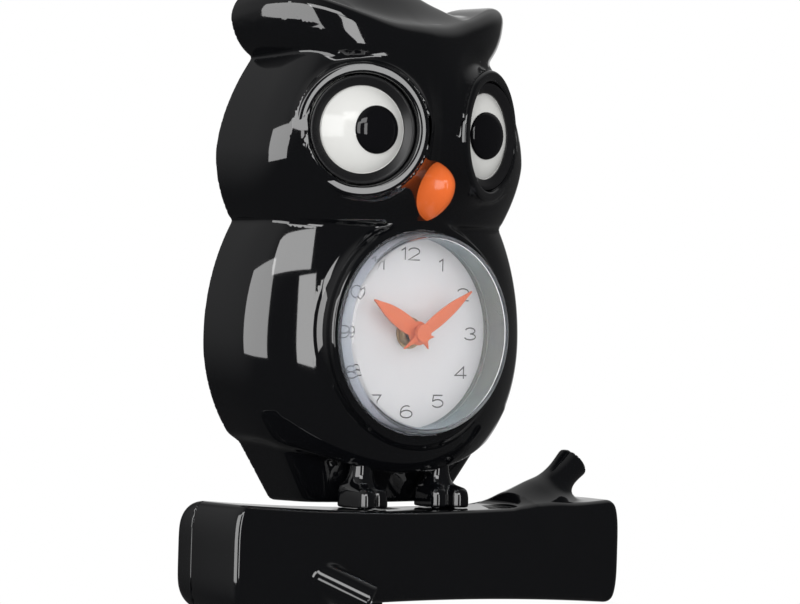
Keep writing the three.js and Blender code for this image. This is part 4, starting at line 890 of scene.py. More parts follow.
@dataclass(frozen=True)
class RoundForm:
    """A rounded form with an oval front and two flanks that lean in.

    Attributes:
        half_width: Half of its width at the wall.
        draft: How far a flank leans in for each millimetre out from the wall.
        front_half_width: Half of the front oval's width.
        depth: The front oval's reach out from the wall.
        centre: The height where it is widest.
        side_profile: How the flanks narrow with height.
        front_profile: How the front narrows with height.
        edge: The rounding between flank and front.
        swell: How far the whole form is let out again after the rounding.
    """

    half_width: float
    draft: float
    front_half_width: float
    depth: float
    centre: float
    side_profile: LevelProfile
    front_profile: LevelProfile
    edge: float = 5.0
    swell: float = 0.5

    def level(self, at: Places) -> np.ndarray:
        """The height that sets the form's size at a place."""
        return at.height

    def side(self, at: Places) -> np.ndarray:
        """The two flanks."""
        wide = (at.aside + self.draft * at.forward) / self.half_width
        return self.side_profile.limit(wide, self.level(at) - self.centre) - 1

    def front(self, at: Places) -> np.ndarray:
        """The oval front."""
        wide = np.hypot(at.x / self.front_half_width, at.forward / self.depth)
        return self.front_profile.limit(wide, self.level(at) - self.centre) - 1

    def distance(self, at: Places) -> np.ndarray:
        """About the distance from the form's surface, below zero inside."""
        side = even_distance(self.side, at)
        front = even_distance(self.front, at)
        return soft_max(side, front, self.edge) - self.swell


@dataclass(frozen=True)
class BellyForm(RoundForm):
    """A rounded form whose front sags below its flanks.

    Attributes:
        bottom: The height of its underside at the wall.
        drop: How far the underside sags at the front.
        drop_start: The height where the sag begins.
        drop_end: The height where the sag is full.
        under_edge: The rounding of its lower edge.
        sag_limit: The depth where the sag stops growing, as a share of the form's depth.
        sag_rounds: How often the height before the sag is worked out anew.
    """

    bottom: float = -54.5
    drop: float = 32.0
    drop_start: float = 10.0
    drop_end: float = -47.0
    under_edge: float = 4.0
    sag_limit: float = 1.2
    sag_rounds: int = 6

    def level(self, at: Places) -> np.ndarray:
        """The height from which a point of the sagging belly came."""
        sag = self.drop * np.clip(at.depth / self.depth, 0.0, self.sag_limit) ** 3
        run = self.drop_start - self.drop_end
        level = at.height
        for _ in range(self.sag_rounds):
            share = np.clip((self.drop_start - level) / run, 0.0, 1.0)
            miss = level - sag * share * share * (3 - 2 * share) - at.height
            level = level - miss / (1 + sag * 6 * share * (1 - share) / run)
        return level

    def underside(self, at: Places) -> np.ndarray:
        """The sagging underside."""
        return self.bottom - self.level(at)

    def distance(self, at: Places) -> np.ndarray:
        """About the distance from the belly's surface, below zero inside."""
        under = even_distance(self.underside, at)
        return soft_max(super().distance(at), under, self.under_edge)


HEAD = RoundForm(
    89.5, 0.26, 95.6, 63.0, 87.0, LevelProfile(92.0, 1.65, 73.0, 2.0), LevelProfile(92.0, 1.85, 100.0, 1.5),
)
BELLY = BellyForm(
    94.2, 0.23, 97.5, 58.0, -4.0, LevelProfile(104.0, 2.0, 86.0, 2.0), LevelProfile(120.0, 2.0, 86.0, 2.0),
)


@dataclass
class OwlShell:
    """The owl's one-piece moulding: head, brow with ear tufts, belly with the dial's collar, and rump."""

    wall: float = 2.6
    wall_edge: float = 0.8
    rim_edge: float = 2.2
    neck: float = 53.0
    neck_edge: float = 4.0
    belly_blend: float = 2.0
    brow_half_width: float = 86.0
    brow_tip_gap: float = 0.3
    brow_middle: float = 4.0
    brow_depth: float = 65.0
    brow_plan_power: float = 1.58
    brow_dip_half_width: float = 58.0
    brow_dip_from: float = 122.0
    brow_dip_tall: float = 38.0
    brow_dip_limit: float = 1.2
    brow_dip_share: float = 0.14
    brow_top_round: float = 9.0
    brow_low_round: float = 2.5
    brow_inner_round: float = 13.0
    brow_soft_from: float = 54.0
    brow_soft_over: float = 24.0
    brow_blend: float = 2.0
    flank_heights: Point = (138.0, 162.0)
    flank_leans: Point = (0.5, 0.36)
    flank_round: float = 12.0
    bridge_blend: float = 11.0
    rump_top: float = -40.0
    rump_bottom: float = -86.0
    rump_limit: float = 1.3
    rump_top_size: Point = (82.5, 44.0)
    rump_bottom_size: Point = (51.0, 31.0)
    rump_draft: float = 0.29
    rump_front_spread: float = 1.268
    rump_edge: float = 4.0
    rump_end_edge: float = 2.0
    rump_blend: float = 4.0
    lip_radius: float = 30.6
    lip_round: float = 2.9
    lip_half_width: float = 2.9
    lip_crown: float = 16.0
    lip_rise: float = 5.0
    lip_edge: float = 1.5
    lip_points: int = 25
    mound_rise: float = 2.6
    mound_blend: float = 13.0
    mound_least: float = 0.25
    socket_radius: float = 27.4
    socket_floor: float = 4.0
    socket_blend: float = 1.0
    bore_edge: float = 0.9
    collar_radius: float = 55.8
    collar_front: float = 57.0
    collar_round: float = 3.0
    collar_foot: float = 0.6
    collar_blend: float = 5.0
    well_back: float = 43.4
    well_run: float = 12.0
    well_shelf: float = 47.4
    well_radius: float = 50.3
    seat_radius: float = 53.1
    swing_room: float = 17.0
    slot_depths: Point = (7.3, 21.3)
    slot_reach: float = 9.0
    slot_edge: float = 2.0
    room_low: Place = (-97.0, -2.1, -88.0)
    room_high: Place = (97.0, 70.0, 181.0)
    cell: float = 1.4

    def __post_init__(self) -> None:
        """Draw the brow's two edges from the middle to an ear's tip, and the ear's side by height."""
        self.eyes = EyePlace()
        self.brow_top = smooth_curve(
            ((0, 154), (18, 155), (35, 159.5), (61, 167.5), (75, 166.5), (82, 162.5), (86, 157)),
        )
        self.brow_low = smooth_curve(
            ((0, 92), (6.68, 106), (14.2, 123), (30.06, 133), (71.81, 135), (80.16, 144), (83.5, 154)),
        )
        self.ear_side = smooth_curve(((126, 61), (134, 69), (140, 76.5), (147, 83), (155, 87), (168, 89)))

    def rump_size(self, height: np.ndarray) -> tuple[np.ndarray, np.ndarray]:
        """The rump's half width and depth at heights."""
        run = self.rump_top - self.rump_bottom
        share = np.clip((height - self.rump_bottom) / run, 0.0, self.rump_limit)
        low = self.rump_bottom_size
        high = self.rump_top_size
        return low[0] + (high[0] - low[0]) * share, low[1] + (high[1] - low[1]) * share

    def rump_side(self, at: Places) -> np.ndarray:
        """The rump's leaning flanks."""
        return at.aside + self.rump_draft * at.forward - self.rump_size(at.height)[0]

    def rump_front(self, at: Places) -> np.ndarray:
        """The rump's oval front."""
        half_width, reach = self.rump_size(at.height)
        return np.hypot(at.x / (half_width * self.rump_front_spread), at.forward / reach) - 1

    def rump(self, at: Places) -> np.ndarray:
        """The rump that narrows below the belly."""
        side = even_distance(self.rump_side, at)
        front = even_distance(self.rump_front, at)
        ends = between(at.height, self.rump_bottom, self.rump_top)
        return soft_max(soft_max(side, front, self.rump_edge), ends, self.rump_end_edge)

    def brow_edges(self, at: Places) -> tuple[np.ndarray, np.ndarray]:
        """The brow's lower and upper edge at places across the head."""
        away = at.aside * np.tanh(at.aside / self.brow_middle)
        away = np.minimum(away, self.brow_half_width - self.brow_tip_gap)
        low = np.interp(away, self.brow_low[:, 0], self.brow_low[:, 1])
        top = np.interp(away, self.brow_top[:, 0], self.brow_top[:, 1])
        return low, top

    def brow_inner(self, at: Places) -> np.ndarray:
        """How far a place is towards the softer middle of the brow, from 0 to 1."""
        return np.clip((self.brow_soft_from - at.aside) / self.brow_soft_over, 0.0, 1.0)

    def brow_front(self, at: Places) -> np.ndarray:
        """The brow's front: from above a soft bow, upright at the ears and leaning back in the middle."""
        power = self.brow_plan_power
        middle = np.clip(1 - at.aside / self.brow_dip_half_width, 0.0, 1.0)
        middle = middle * middle * (3 - 2 * middle)
        climb = np.clip((at.height - self.brow_dip_from) / self.brow_dip_tall, 0.0, self.brow_dip_limit)
        reach = self.brow_depth * (1 - self.brow_dip_share * middle * climb ** 2)
        out = at.forward / reach
        return ((at.aside / self.brow_half_width) ** power + out ** power) ** (1 / power) - 1

    def brow_flank(self, at: Places) -> np.ndarray:
        """The flat flank of an ear tuft, which leans out as it goes up."""
        lean = np.interp(at.height, self.flank_heights, self.flank_leans)
        side = np.interp(at.height, self.ear_side[:, 0], self.ear_side[:, 1])
        return at.aside + lean * at.forward - side

    def brow(self, at: Places) -> np.ndarray:
        """The brow with its ear tufts."""
        low, top = self.brow_edges(at)
        front = even_distance(self.brow_front, at)
        flank = even_distance(self.brow_flank, at)
        body = soft_max(front, flank, self.flank_round)
        body = soft_max(body, at.height - top, self.brow_top_round)
        low_round = self.brow_low_round + self.brow_inner_round * self.brow_inner(at)
        return soft_max(body, low - at.height, low_round)

    def outer(self, at: Places) -> np.ndarray:
        """The owl's outside, without its collar and the raised face."""
        head = soft_max(HEAD.distance(at), self.neck - at.height, self.neck_edge)
        body = soft_min(head, BELLY.distance(at), self.belly_blend)
        body = soft_min(body, self.rump(at), self.rump_blend)
        return soft_min(body, self.brow(at), self.brow_blend + self.bridge_blend * self.brow_inner(at))

    def lip_profile(self) -> list[Point]:
        """The section of an eye lip: a gentle crown between two rounded edges."""
        section = []
        for aside in np.linspace(-self.lip_half_width, self.lip_half_width, self.lip_points):
            past = max(0.0, (abs(aside) - self.lip_half_width + self.lip_edge) / self.lip_edge)
            drop = self.lip_edge * (1 - math.sqrt(max(0.0, 1 - past ** 2)))
            fall = aside ** 2 / (2 * self.lip_crown) + drop
            section.append((self.lip_radius + float(aside), self.lip_rise - fall))
        foot = -self.socket_floor
        return [(section[0][0], foot), *section, (section[-1][0], foot)]

    def mounds(self, at: Places) -> np.ndarray:
        """The raised face under the eye lips."""
        along, out = self.eyes.along_and_out(at, self.eyes.lip_turn)
        return np.maximum(out - self.lip_radius - self.lip_half_width, along - self.mound_rise)

    def sockets(self, at: Places) -> np.ndarray:
        """The cups behind the eyes."""
        along, out = self.eyes.along_and_out(at, self.eyes.turn)
        middle = (self.lip_rise - self.lip_round - self.socket_floor - self.wall) / 2
        half = (self.lip_rise - self.lip_round + self.socket_floor + self.wall) / 2
        return np.maximum(out - self.lip_radius, np.abs(along - middle) - half)

    def bores(self, at: Places) -> np.ndarray:
        """The round holes that the eyes sit in."""
        along, out = self.eyes.along_and_out(at, self.eyes.turn)
        flare = np.clip((along - self.lip_rise + self.lip_round) / (2 * self.lip_round), 0.0, 1.0)
        radius = self.socket_radius + (self.lip_radius - self.socket_radius) * flare
        return np.maximum(out - radius, -self.socket_floor - along)

    def collar(self, at: Places) -> np.ndarray:
        """The raised ring round the dial."""
        ring = np.hypot(at.x, at.height) - self.collar_radius
        ring = soft_max(ring, at.depth - self.collar_front, self.collar_round)
        return soft_max(ring, self.well_back - at.depth, self.collar_foot)

    def well(self, at: Places) -> np.ndarray:
        """The stepped bore that takes the crystal and the dial."""
        radius = np.where(at.depth > self.well_shelf, self.well_radius, self.seat_radius)
        return np.maximum(np.hypot(at.x, at.height) - radius, self.well_back - self.well_run - at.depth)

    def skin(self, at: Places) -> np.ndarray:
        """The whole moulding with its walls and holes."""
        outer = self.outer(at)
        collar = self.collar(at)
        inward = np.clip((self.eyes.x - at.aside) / self.lip_radius, 0.0, 1.0)
        face = soft_min(outer, self.mounds(at), self.mound_blend * (self.mound_least + inward))
        full = soft_min(face, collar, self.collar_blend)
        walls = soft_max(full, -(outer + self.wall), self.wall_edge)
        walls = soft_min(walls, np.maximum(self.sockets(at), full), self.socket_blend)
        walls = soft_min(walls, collar, self.collar_foot)
        walls = soft_max(walls, -self.bores(at), self.bore_edge)
        walls = soft_max(walls, -self.well(at), self.bore_edge)
        slot = block_form(
            at,
            (-self.swing_room, self.slot_depths[0], self.rump_bottom - self.slot_reach),
            (self.swing_room, self.slot_depths[1], self.rump_bottom + self.slot_reach),
            self.slot_edge,
        )
        return soft_max(soft_max(walls, -slot, self.wall_edge), -at.depth, self.rim_edge)

    def build(self) -> None:
        """Build the moulding with its eye lips and dress it."""
        mesher = SkinMesher(self.room_low, self.room_high, self.cell)
        dress(mesher.mesh("owl_skin", self.skin), GLOSS_BLACK, Body.CLOCK, "owl_shell")
        for side in Side:
            place = self.eyes.matrix(side, self.eyes.lip_turn)
            ring = turned(f"eye_lip_{side.word}", self.lip_profile(), Facets.LIP, place)
            dress(ring, GLOSS_BLACK, Body.CLOCK)


@dataclass
class BackCover:
    """The flat cover behind the owl, with its keyhole and movement window."""

    shell: OwlShell
    thickness: float = 2.4
    inset: float = 3.2
    edge: float = 0.7
    hole_edge: float = 0.6
    hole_run: float = 9.0
    window_low: Point = (-33.0, -55.0)
    window_high: Point = (33.0, 35.0)
    window_round: float = 3.0
    notch_top: float = -71.8
    notch_reach: float = 20.0
    notch_round: float = 2.0
    keyhole_radius: float = 5.0
    slot_radius: float = 2.3
    keyhole_rise: float = 9.0
    screw_places: tuple[Point, ...] = ((-68.0, 118.0), (68.0, 118.0), (-58.0, -36.0), (58.0, -36.0))
    head_sink: float = 1.4
    room_x: float = 95.0
    room_heights: Point = (-88.0, 180.0)
    cell: float = 1.3

    def opening(self, at: Places, low: Point, high: Point, rounding: float) -> np.ndarray:
        """A square hole right through the cover.

        Args:
            at: The places to measure.
            low: Its lowest x and height.
            high: Its highest x and height.
            rounding: The radius of its corners.

        Returns:
            The distance in millimetres, below zero inside.
        """
        return block_form(at, (low[0], -self.hole_run, low[1]), (high[0], self.hole_run, high[1]), rounding)

    def form(self, at: Places) -> np.ndarray:
        """The cover with its holes."""
        half = self.thickness / 2
        flat = Places(at.x, np.full_like(at.depth, half), at.height)
        cover = soft_max(self.shell.outer(flat) + self.inset, np.abs(at.depth - half) - half, self.edge)
        window = self.opening(at, self.window_low, self.window_high, self.window_round)
        swing = self.shell.swing_room
        notch_low = (-swing, self.shell.rump_bottom - self.notch_reach)
        notch = self.opening(at, notch_low, (swing, self.notch_top), self.notch_round)
        round_hole = rod_form(at, self.keyhole_radius, (0.0, HANG_HEIGHT - self.keyhole_rise))
        upright = np.clip(at.height, HANG_HEIGHT - self.keyhole_rise, HANG_HEIGHT)
        keyhole = np.minimum(round_hole, np.hypot(at.x, at.height - upright) - self.slot_radius)
        holes = np.minimum(np.minimum(window, notch), keyhole)
        for place in self.screw_places:
            holes = np.minimum(holes, sink_form(at, place, self.head_sink))
        return soft_max(cover, -holes, self.hole_edge)

    def build(self) -> None:
        """Build the cover and its screws."""
        low, high = self.room_heights
        mesher = SkinMesher((-self.room_x, 0.0, low), (self.room_x, self.thickness, high), self.cell)
        dress(mesher.mesh("cover_plate", self.form), SATIN_BLACK, Body.CLOCK, "back_cover")
        seat = self.head_sink - SEAT_GAP
        ScrewSet("cover_screws", "back_screw", self.screw_places, seat).build(Body.CLOCK)


@lru_cache(maxsize=None)
def screw_tree() -> bpy.types.NodeTree:
    """Build the node tree that makes one cross-recess screw and sets it at each point.

    Returns:
        The geometry node tree, shared by all sets.
    """
    sides = 24
    head_taper = 0.72
    shank_taper = 0.6
    recess_width = 0.22
    recess_height = 0.9
    sizes = dict.fromkeys(("Head Radius", "Head Height", "Shank Radius", "Shank Length"), "Float")
    wire = Wiring.group(
        "screw_tree", "GeometryNodeTree",
        {"Geometry": "Geometry", **sizes, "Finish": "Material"}, {"Geometry": "Geometry"},
    )
    given = wire.add("NodeGroupInput", {}).outputs
    radius = given["Head Radius"]
    height = given["Head Height"]
    shank_radius = given["Shank Radius"]
    length = given["Shank Length"]
    head = wire.cone(radius, wire.calc("MULTIPLY", radius, head_taper), height, sides)
    shank = wire.cone(wire.calc("MULTIPLY", shank_radius, shank_taper), shank_radius, length, sides)
    hung = wire.raised(shank, wire.calc("MULTIPLY", length, -1.0))
    recess = wire.add("GeometryNodeMeshBoolean", {"Mesh 1": head}, operation="DIFFERENCE")
    narrow = wire.calc("MULTIPLY", radius, recess_width)
    rise = wire.calc("MULTIPLY", height, recess_height)
    for wide, deep in ((radius, narrow), (narrow, radius)):
        size = wire.add("ShaderNodeCombineXYZ", {"X": wide, "Y": deep, "Z": height}).outputs[0]
        bar = wire.add("GeometryNodeMeshCube", {"Size": size}).outputs["Mesh"]
        wire.feed(recess, {"Mesh 2": wire.raised(bar, rise)})
    whole = wire.add("GeometryNodeJoinGeometry", {"Geometry": recess.outputs["Mesh"]})
    wire.feed(whole, {"Geometry": hung})
    lying = {"Geometry": whole.outputs["Geometry"], "Rotation": (-math.pi / 2, 0.0, 0.0)}
    wire.scatter(given, wire.add("GeometryNodeTransform", lying).outputs["Geometry"])
    return wire.tree


@dataclass
class ScrewSet:
    """Cross-recess screws that go in from behind, placed by a node tree.

    Attributes:
        name: The set's name.
        node: The start of the names of the nodes that they stand for.
        places: Where each screw stands, in x and height.
        seat: The depth of the underside of the heads.
        length: The shank's length.
        head_height: The head's height.
    """

    name: str
    node: str
    places: tuple[Point, ...]
    seat: float
    length: float = 9.0
    head_height: float = 1.1

    def build(self, body: Body) -> None:
        """Build the screws and dress them.

        Args:
            body: The body that they ride on.
        """
        points = [(x, -self.seat, height) for x, height in self.places]
        sizes = {
            "Head Radius": SCREW_HEAD_RADIUS * MM,
            "Head Height": self.head_height * MM,
            "Shank Radius": SCREW_RADIUS * MM,
            "Shank Length": self.length * MM,
            "Finish": STEEL.material(),
        }
        nodes = [f"{self.node}_{i + 1}" for i in range(len(self.places))]
        dress(grown(self.name, points, screw_tree(), sizes), STEEL, body, *nodes)


@dataclass
class Eyes:
    """The two domed eyes with their dark rings and black pupils."""

    place: EyePlace
    flange: float = 27.1
    floor: float = -3.7
    ball_radius: float = 32.3
    dome_rise: float = 8.1
    dome_steps: int = 28
    bezel_inner: float = 21.8
    bezel_front: float = 2.8
    bezel_inner_front: float = 1.0
    bezel_rim: float = 1.4
    pupil_radius: float = 11.9
    pupil_thickness: float = 2.0
    pupil_inward: float = 6.5
    pupil_steps: int = 20

    def white_profile(self) -> list[Point]:
        """The white's section: a dome on a flat flange.

        Returns:
            Radius and depth pairs from the back to the crown.
        """
        ball = self.ball_radius
        reach = math.asin(math.sqrt(ball ** 2 - (ball - self.dome_rise) ** 2) / ball)
        profile = [(0.0, self.floor), (self.flange, self.floor), (self.flange, 0.0)]
        for i in range(self.dome_steps + 1):
            turn = reach * (1 - i / self.dome_steps)
            profile.append((ball * math.sin(turn), ball * math.cos(turn) - ball + self.dome_rise))
        return profile

    def pupil_profile(self) -> list[Point]:
        """The pupil's section: a lens with a rounded edge, measured from the eyeball's centre.

        Returns:
            Radius and depth pairs.
        """
        reach = math.asin(self.pupil_radius / self.ball_radius)
        under = self.ball_radius + SEAT_GAP
        shares = [i / self.pupil_steps for i in range(self.pupil_steps + 1)]
        lens = [(reach * share, under) for share in shares]
        for share in reversed(shares):
            rise = self.pupil_thickness * math.sqrt(max(0.0, 1 - share ** 3))
            lens.append((reach * share, under + rise))
        return [(radius * math.sin(turn), radius * math.cos(turn)) for turn, radius in lens]

    def build(self) -> None:
        """Build both eyes and dress them."""
        ring = rounded_profile(
            Corner(self.bezel_inner, SEAT_GAP),
            Corner(self.flange, SEAT_GAP),
            Corner(self.flange, self.bezel_front, 0.5),
            Corner(self.flange - self.bezel_rim, self.bezel_front, 0.6),
            Corner(self.bezel_inner, self.bezel_inner_front, 0.3),
        )
        inward = math.asin(self.pupil_inward / self.ball_radius)
        centre = Matrix.Translation((0.0, self.ball_radius - self.dome_rise, 0.0))
        for side in Side:
            word = side.word
            spot = self.place.matrix(side, self.place.turn)
            dome = turned(f"eye_dome_{word}", self.white_profile(), Facets.EYE, spot)
            dress(dome, EYE_WHITE, Body.CLOCK, f"eye_white_{word}")
            bezel = turned(f"eye_ring_{word}", ring, Facets.EYE, spot)
            dress(bezel, BEZEL_GREY, Body.CLOCK, f"eye_bezel_{word}")
            look = spot @ centre @ Matrix.Rotation(-side.value * inward, 4, "Z")
            lens = turned(f"pupil_lens_{word}", self.pupil_profile(), Facets.PUPIL, look)
            dress(lens, PUPIL_BLACK, Body.CLOCK, f"pupil_{word}")


@dataclass
class Beak:
    """The orange drop between the eyes."""

    top: float = 87.0
    tip: float = 56.4
    widest: float = 74.0
    half_width: float = 10.0
    root: float = 52.0
    front: float = 77.0
    top_power: float = 0.62
    tip_power: float = 0.7
    least_share: float = 0.03
    end_depth: float = 0.25
    levels: int = 64
    arc: int = 56
    sharp: float = 60.0

    def share(self, height: float) -> float:
        """The beak's width at one height, as a share of its widest."""
        below = height < self.widest
        reach = self.widest - self.tip if below else self.top - self.widest
        away = min(1.0, abs(height - self.widest) / reach)
        return (1 - away ** 2) ** (self.tip_power if below else self.top_power)

    def build(self) -> None:
        """Build the drop from level slices and dress it."""
        points = []
        for i in range(self.levels + 1):
            height = self.tip + (self.top - self.tip) * (1 - math.cos(math.pi * i / self.levels)) / 2
            share = max(self.least_share, self.share(height))
            reach = (self.front - self.root) * (self.end_depth + (1 - self.end_depth) * share)
            for k in range(self.arc + 1):
                turn = math.pi * k / self.arc
                forward = self.root + reach * math.sin(turn)
                points.append((self.half_width * share * math.cos(turn), -forward, height))
        row = self.arc + 1
        faces: list[tuple[int, ...]] = []
        for start in range(0, self.levels * row, row):
            for k in range(row):
                after = (k + 1) % row
                faces.append((start + k, start + after, start + row + after, start + row + k))
        faces.append(tuple(range(row)))
        faces.append(tuple(range(self.levels * row, (self.levels + 1) * row)))
        dress(place_object("beak_drop", points, faces, angle=self.sharp), BEAK_ORANGE, Body.CLOCK, "beak")


@dataclass
class NumberPen:
    """Writes wide, thin numbers as strokes in millimetres."""

    tall: float = 6.0
    wide: float = 7.4
    line: float = 0.62
    gap: float = 1.3
    one_wide: float = 3.0
    least_steps: int = 6
    step_degrees: float = 9.0
    sharpest: float = 0.25

    def bow(self, middle: Point, size: Point, start: float, end: float) -> list[Point]:
        """One bow of an oval.

        Args:
            middle: Its centre, in shares of the number's box.
            size: Its two half axes, in the same shares.
            start: Its first angle in degrees, anticlockwise from the right.
            end: Its last angle.

        Returns:
            The bow's points.
        """
        steps = max(self.least_steps, int(abs(end - start) / self.step_degrees))
        points = []
        for i in range(steps + 1):
            turn = math.radians(start + (end - start) * i / steps)
            points.append((middle[0] + size[0] * math.cos(turn), middle[1] + size[1] * math.sin(turn)))
        return points

    def digit(self, digit: str) -> list[list[Point]]:
        """The strokes of one digit in a box from -0.5 to 0.5.

        Args:
            digit: The digit.

        Returns:
            Its strokes.
        """
        bow = self.bow
        six = [bow((0.0, -0.19), (0.5, 0.31), 0, 360), bow((0.02, -0.05), (0.52, 0.55), 62, 190)]
        strokes = {
            "0": [bow((0.0, 0.0), (0.5, 0.5), 0, 360)],
            "1": [[(-0.5, 0.28), (0.3, 0.5), (0.3, -0.5)]],
            "2": [[*bow((0.0, 0.21), (0.47, 0.29), 168, -38), (-0.48, -0.5), (0.5, -0.5)]],
            "3": [bow((0.0, 0.25), (0.42, 0.25), 165, -90), bow((0.0, -0.25), (0.48, 0.25), 90, -165)],
            "4": [[(0.24, -0.5), (0.24, 0.5), (-0.5, -0.22), (0.5, -0.22)]],
            "5": [[(0.42, 0.5), (-0.36, 0.5), (-0.42, 0.03), *bow((0.0, -0.18), (0.48, 0.32), 138, -155)]],
            "6": six,
            "7": [[(-0.46, 0.5), (0.46, 0.5), (-0.16, -0.5)]],
            "8": [bow((0.0, 0.26), (0.4, 0.24), 0, 360), bow((0.0, -0.24), (0.49, 0.26), 0, 360)],
            "9": [[(-x, -y) for x, y in stroke] for stroke in six],
        }
        return strokes[digit]

    def write(self, text: str) -> list[np.ndarray]:
        """Write one number about its own middle.

        Args:
            text: The number's digits.

        Returns:
            Its strokes, with one point per row.
        """
        widths = [self.one_wide if digit == "1" else self.wide for digit in text]
        left = -(sum(widths) + self.gap * (len(text) - 1)) / 2
        strokes = []
        for digit, width in zip(text, widths):
            for stroke in self.digit(digit):
                strokes.append(np.array(stroke) * (width, self.tall) + (left + width / 2, 0.0))
            left += width + self.gap
        return strokes

    def edges(self, stroke: np.ndarray) -> tuple[np.ndarray, np.ndarray]:
        """The two edges of a stroke, with mitred corners."""
        closed = np.allclose(stroke[0], stroke[-1])
        before = np.vstack([stroke[-2] if closed else 2 * stroke[0] - stroke[1], stroke[:-1]])
        after = np.vstack([stroke[1:], stroke[1] if closed else 2 * stroke[-1] - stroke[-2]])
        come = (stroke - before) / np.linalg.norm(stroke - before, axis=1, keepdims=True)
        go = (after - stroke) / np.linalg.norm(after - stroke, axis=1, keepdims=True)
        side = np.stack([-(come + go)[:, 1], (come + go)[:, 0]], axis=1)
        square = np.maximum(1 + (come * go).sum(axis=1, keepdims=True), self.sharpest)
        reach = side / square * self.line / 2
        return stroke + reach, stroke - reach


@dataclass
class DialSet:
    """The dial with its numbers, washer and nut, under a deep clear cap."""

    dial_back: float = 43.4
    dial_radius: float = 52.8
    hole: float = 4.9
    number_ring: float = 39.6
    ink_lift: float = 0.05
    cap_radius: float = 50.0
    cap_front: float = 65.2
    cap_wall: float = 1.8
    wall_slope: float = 0.3
    washer_radius: float = 8.0
    washer_thickness: float = 0.8
    nut_corners: float = 15.0
    nut_thickness: float = 3.0
    nut_chamfer: float = 0.3
    nut_slope: float = 0.7
    nut_edge: float = 0.2
    nut_room: float = 8.0
    nut_cell: float = 0.35
    screw_count: int = 4

    def __post_init__(self) -> None:
        """Take up the pen and stack the washer and the nut on the dial."""
        self.pen = NumberPen()
        self.seat = DIAL_FRONT + SEAT_GAP
        self.washer_front = self.seat + self.washer_thickness
        self.nut_back = self.washer_front + SEAT_GAP
        self.nut_front = self.nut_back + self.nut_thickness

    def cap(self) -> None:
        """Build the clear cap and dress it."""
        inner = self.cap_radius - self.cap_wall
        flange = self.seat + self.cap_wall
        profile = rounded_profile(
            Corner(0.0, self.cap_front - self.cap_wall),
            Corner(inner, self.cap_front - self.cap_wall, 1.2),
            Corner(inner, self.seat),
            Corner(self.dial_radius, self.seat),
            Corner(self.dial_radius, flange, 0.3),
            Corner(self.cap_radius, flange, 0.4),
            Corner(self.cap_radius, self.cap_front, 2.2),
            Corner(0.0, self.cap_front),
        )
        cap = dress(turned("clear_cap", profile, Facets.DIAL), CLEAR, Body.CLOCK, "crystal")
        # The side wall's faces get the milky finish, a painted sheen that stands in for light piped along the
        # clear wall; the front stays clear.
        cap.data.materials.append(CLEAR_WALL_PAINTED_SHEEN.material())
        for face in cap.data.polygons:
            if abs(face.normal.y) < self.wall_slope:
                face.material_index = 1

    def disc(self) -> None:
        """Build the dial, the washer and the nut, and dress them."""
        dial = washer(self.hole, self.dial_radius, self.dial_back, DIAL_FRONT, 0.2)
        dress(turned("dial_disc", dial, Facets.DIAL), DIAL_WHITE, Body.CLOCK, "dial")
        ring = washer(self.hole, self.washer_radius, self.seat, self.washer_front, 0.25)
        dress(turned("brass_washer", ring, Facets.HUB), BRASS, Body.CLOCK, "dial_washer")
        room = self.nut_room
        mesher = SkinMesher((-room, self.nut_back, -room), (room, self.nut_front, room), self.nut_cell)
        dress(mesher.mesh("hex_nut", self.nut_form), BRASS, Body.CLOCK, "dial_nut")

    def nut_form(self, at: Places) -> np.ndarray:
        """A six-sided nut with a chamfered front and a plain bore."""
        flat = self.nut_corners / 2 * math.cos(math.pi / 6)
        nut = between(at.depth, self.nut_back, self.nut_front)
        for i in range(3):
            turn = math.pi / 3 * i
            nut = np.maximum(nut, np.abs(at.x * math.cos(turn) + at.height * math.sin(turn)) - flat)
        out = np.hypot(at.x, at.height)
        chamfer = out - flat + (at.depth - self.nut_front) + self.nut_chamfer
        nut = soft_max(nut, chamfer * self.nut_slope, self.nut_edge)
        return soft_max(nut, self.hole - out, self.nut_edge)

    def numbers(self) -> None:
        """Draw the numbers with a pen of even width and dress them."""
        points: list[Place] = []
        faces: list[tuple[int, ...]] = []
        hours = 12
        level = -DIAL_FRONT - self.ink_lift
        for hour in range(1, hours + 1):
            turn = 2 * math.pi * hour / hours
            right = self.number_ring * math.sin(turn)
            up = self.number_ring * math.cos(turn)
            for stroke in self.pen.write(str(hour)):
                start = len(points)
                count = len(stroke)
                for side in self.pen.edges(stroke):
                    points.extend((right + x, level, up + y) for x, y in side)
                for i in range(start, start + count - 1):
                    faces.append((i, i + 1, i + count + 1, i + count))
        made = place_object("dial_numbers", points, faces)
        solid = made.modifiers.new("ink", "SOLIDIFY")
        solid.thickness = self.ink_lift * MM
        solid.offset = 0.0
        dress(made, DIAL_INK, Body.CLOCK)

    def build(self) -> None:
        """Build the whole dial set."""
        self.disc()
        self.numbers()
        self.cap()
        refinish(STEEL, *(f"dial_screw_{i + 1}" for i in range(self.screw_count)))


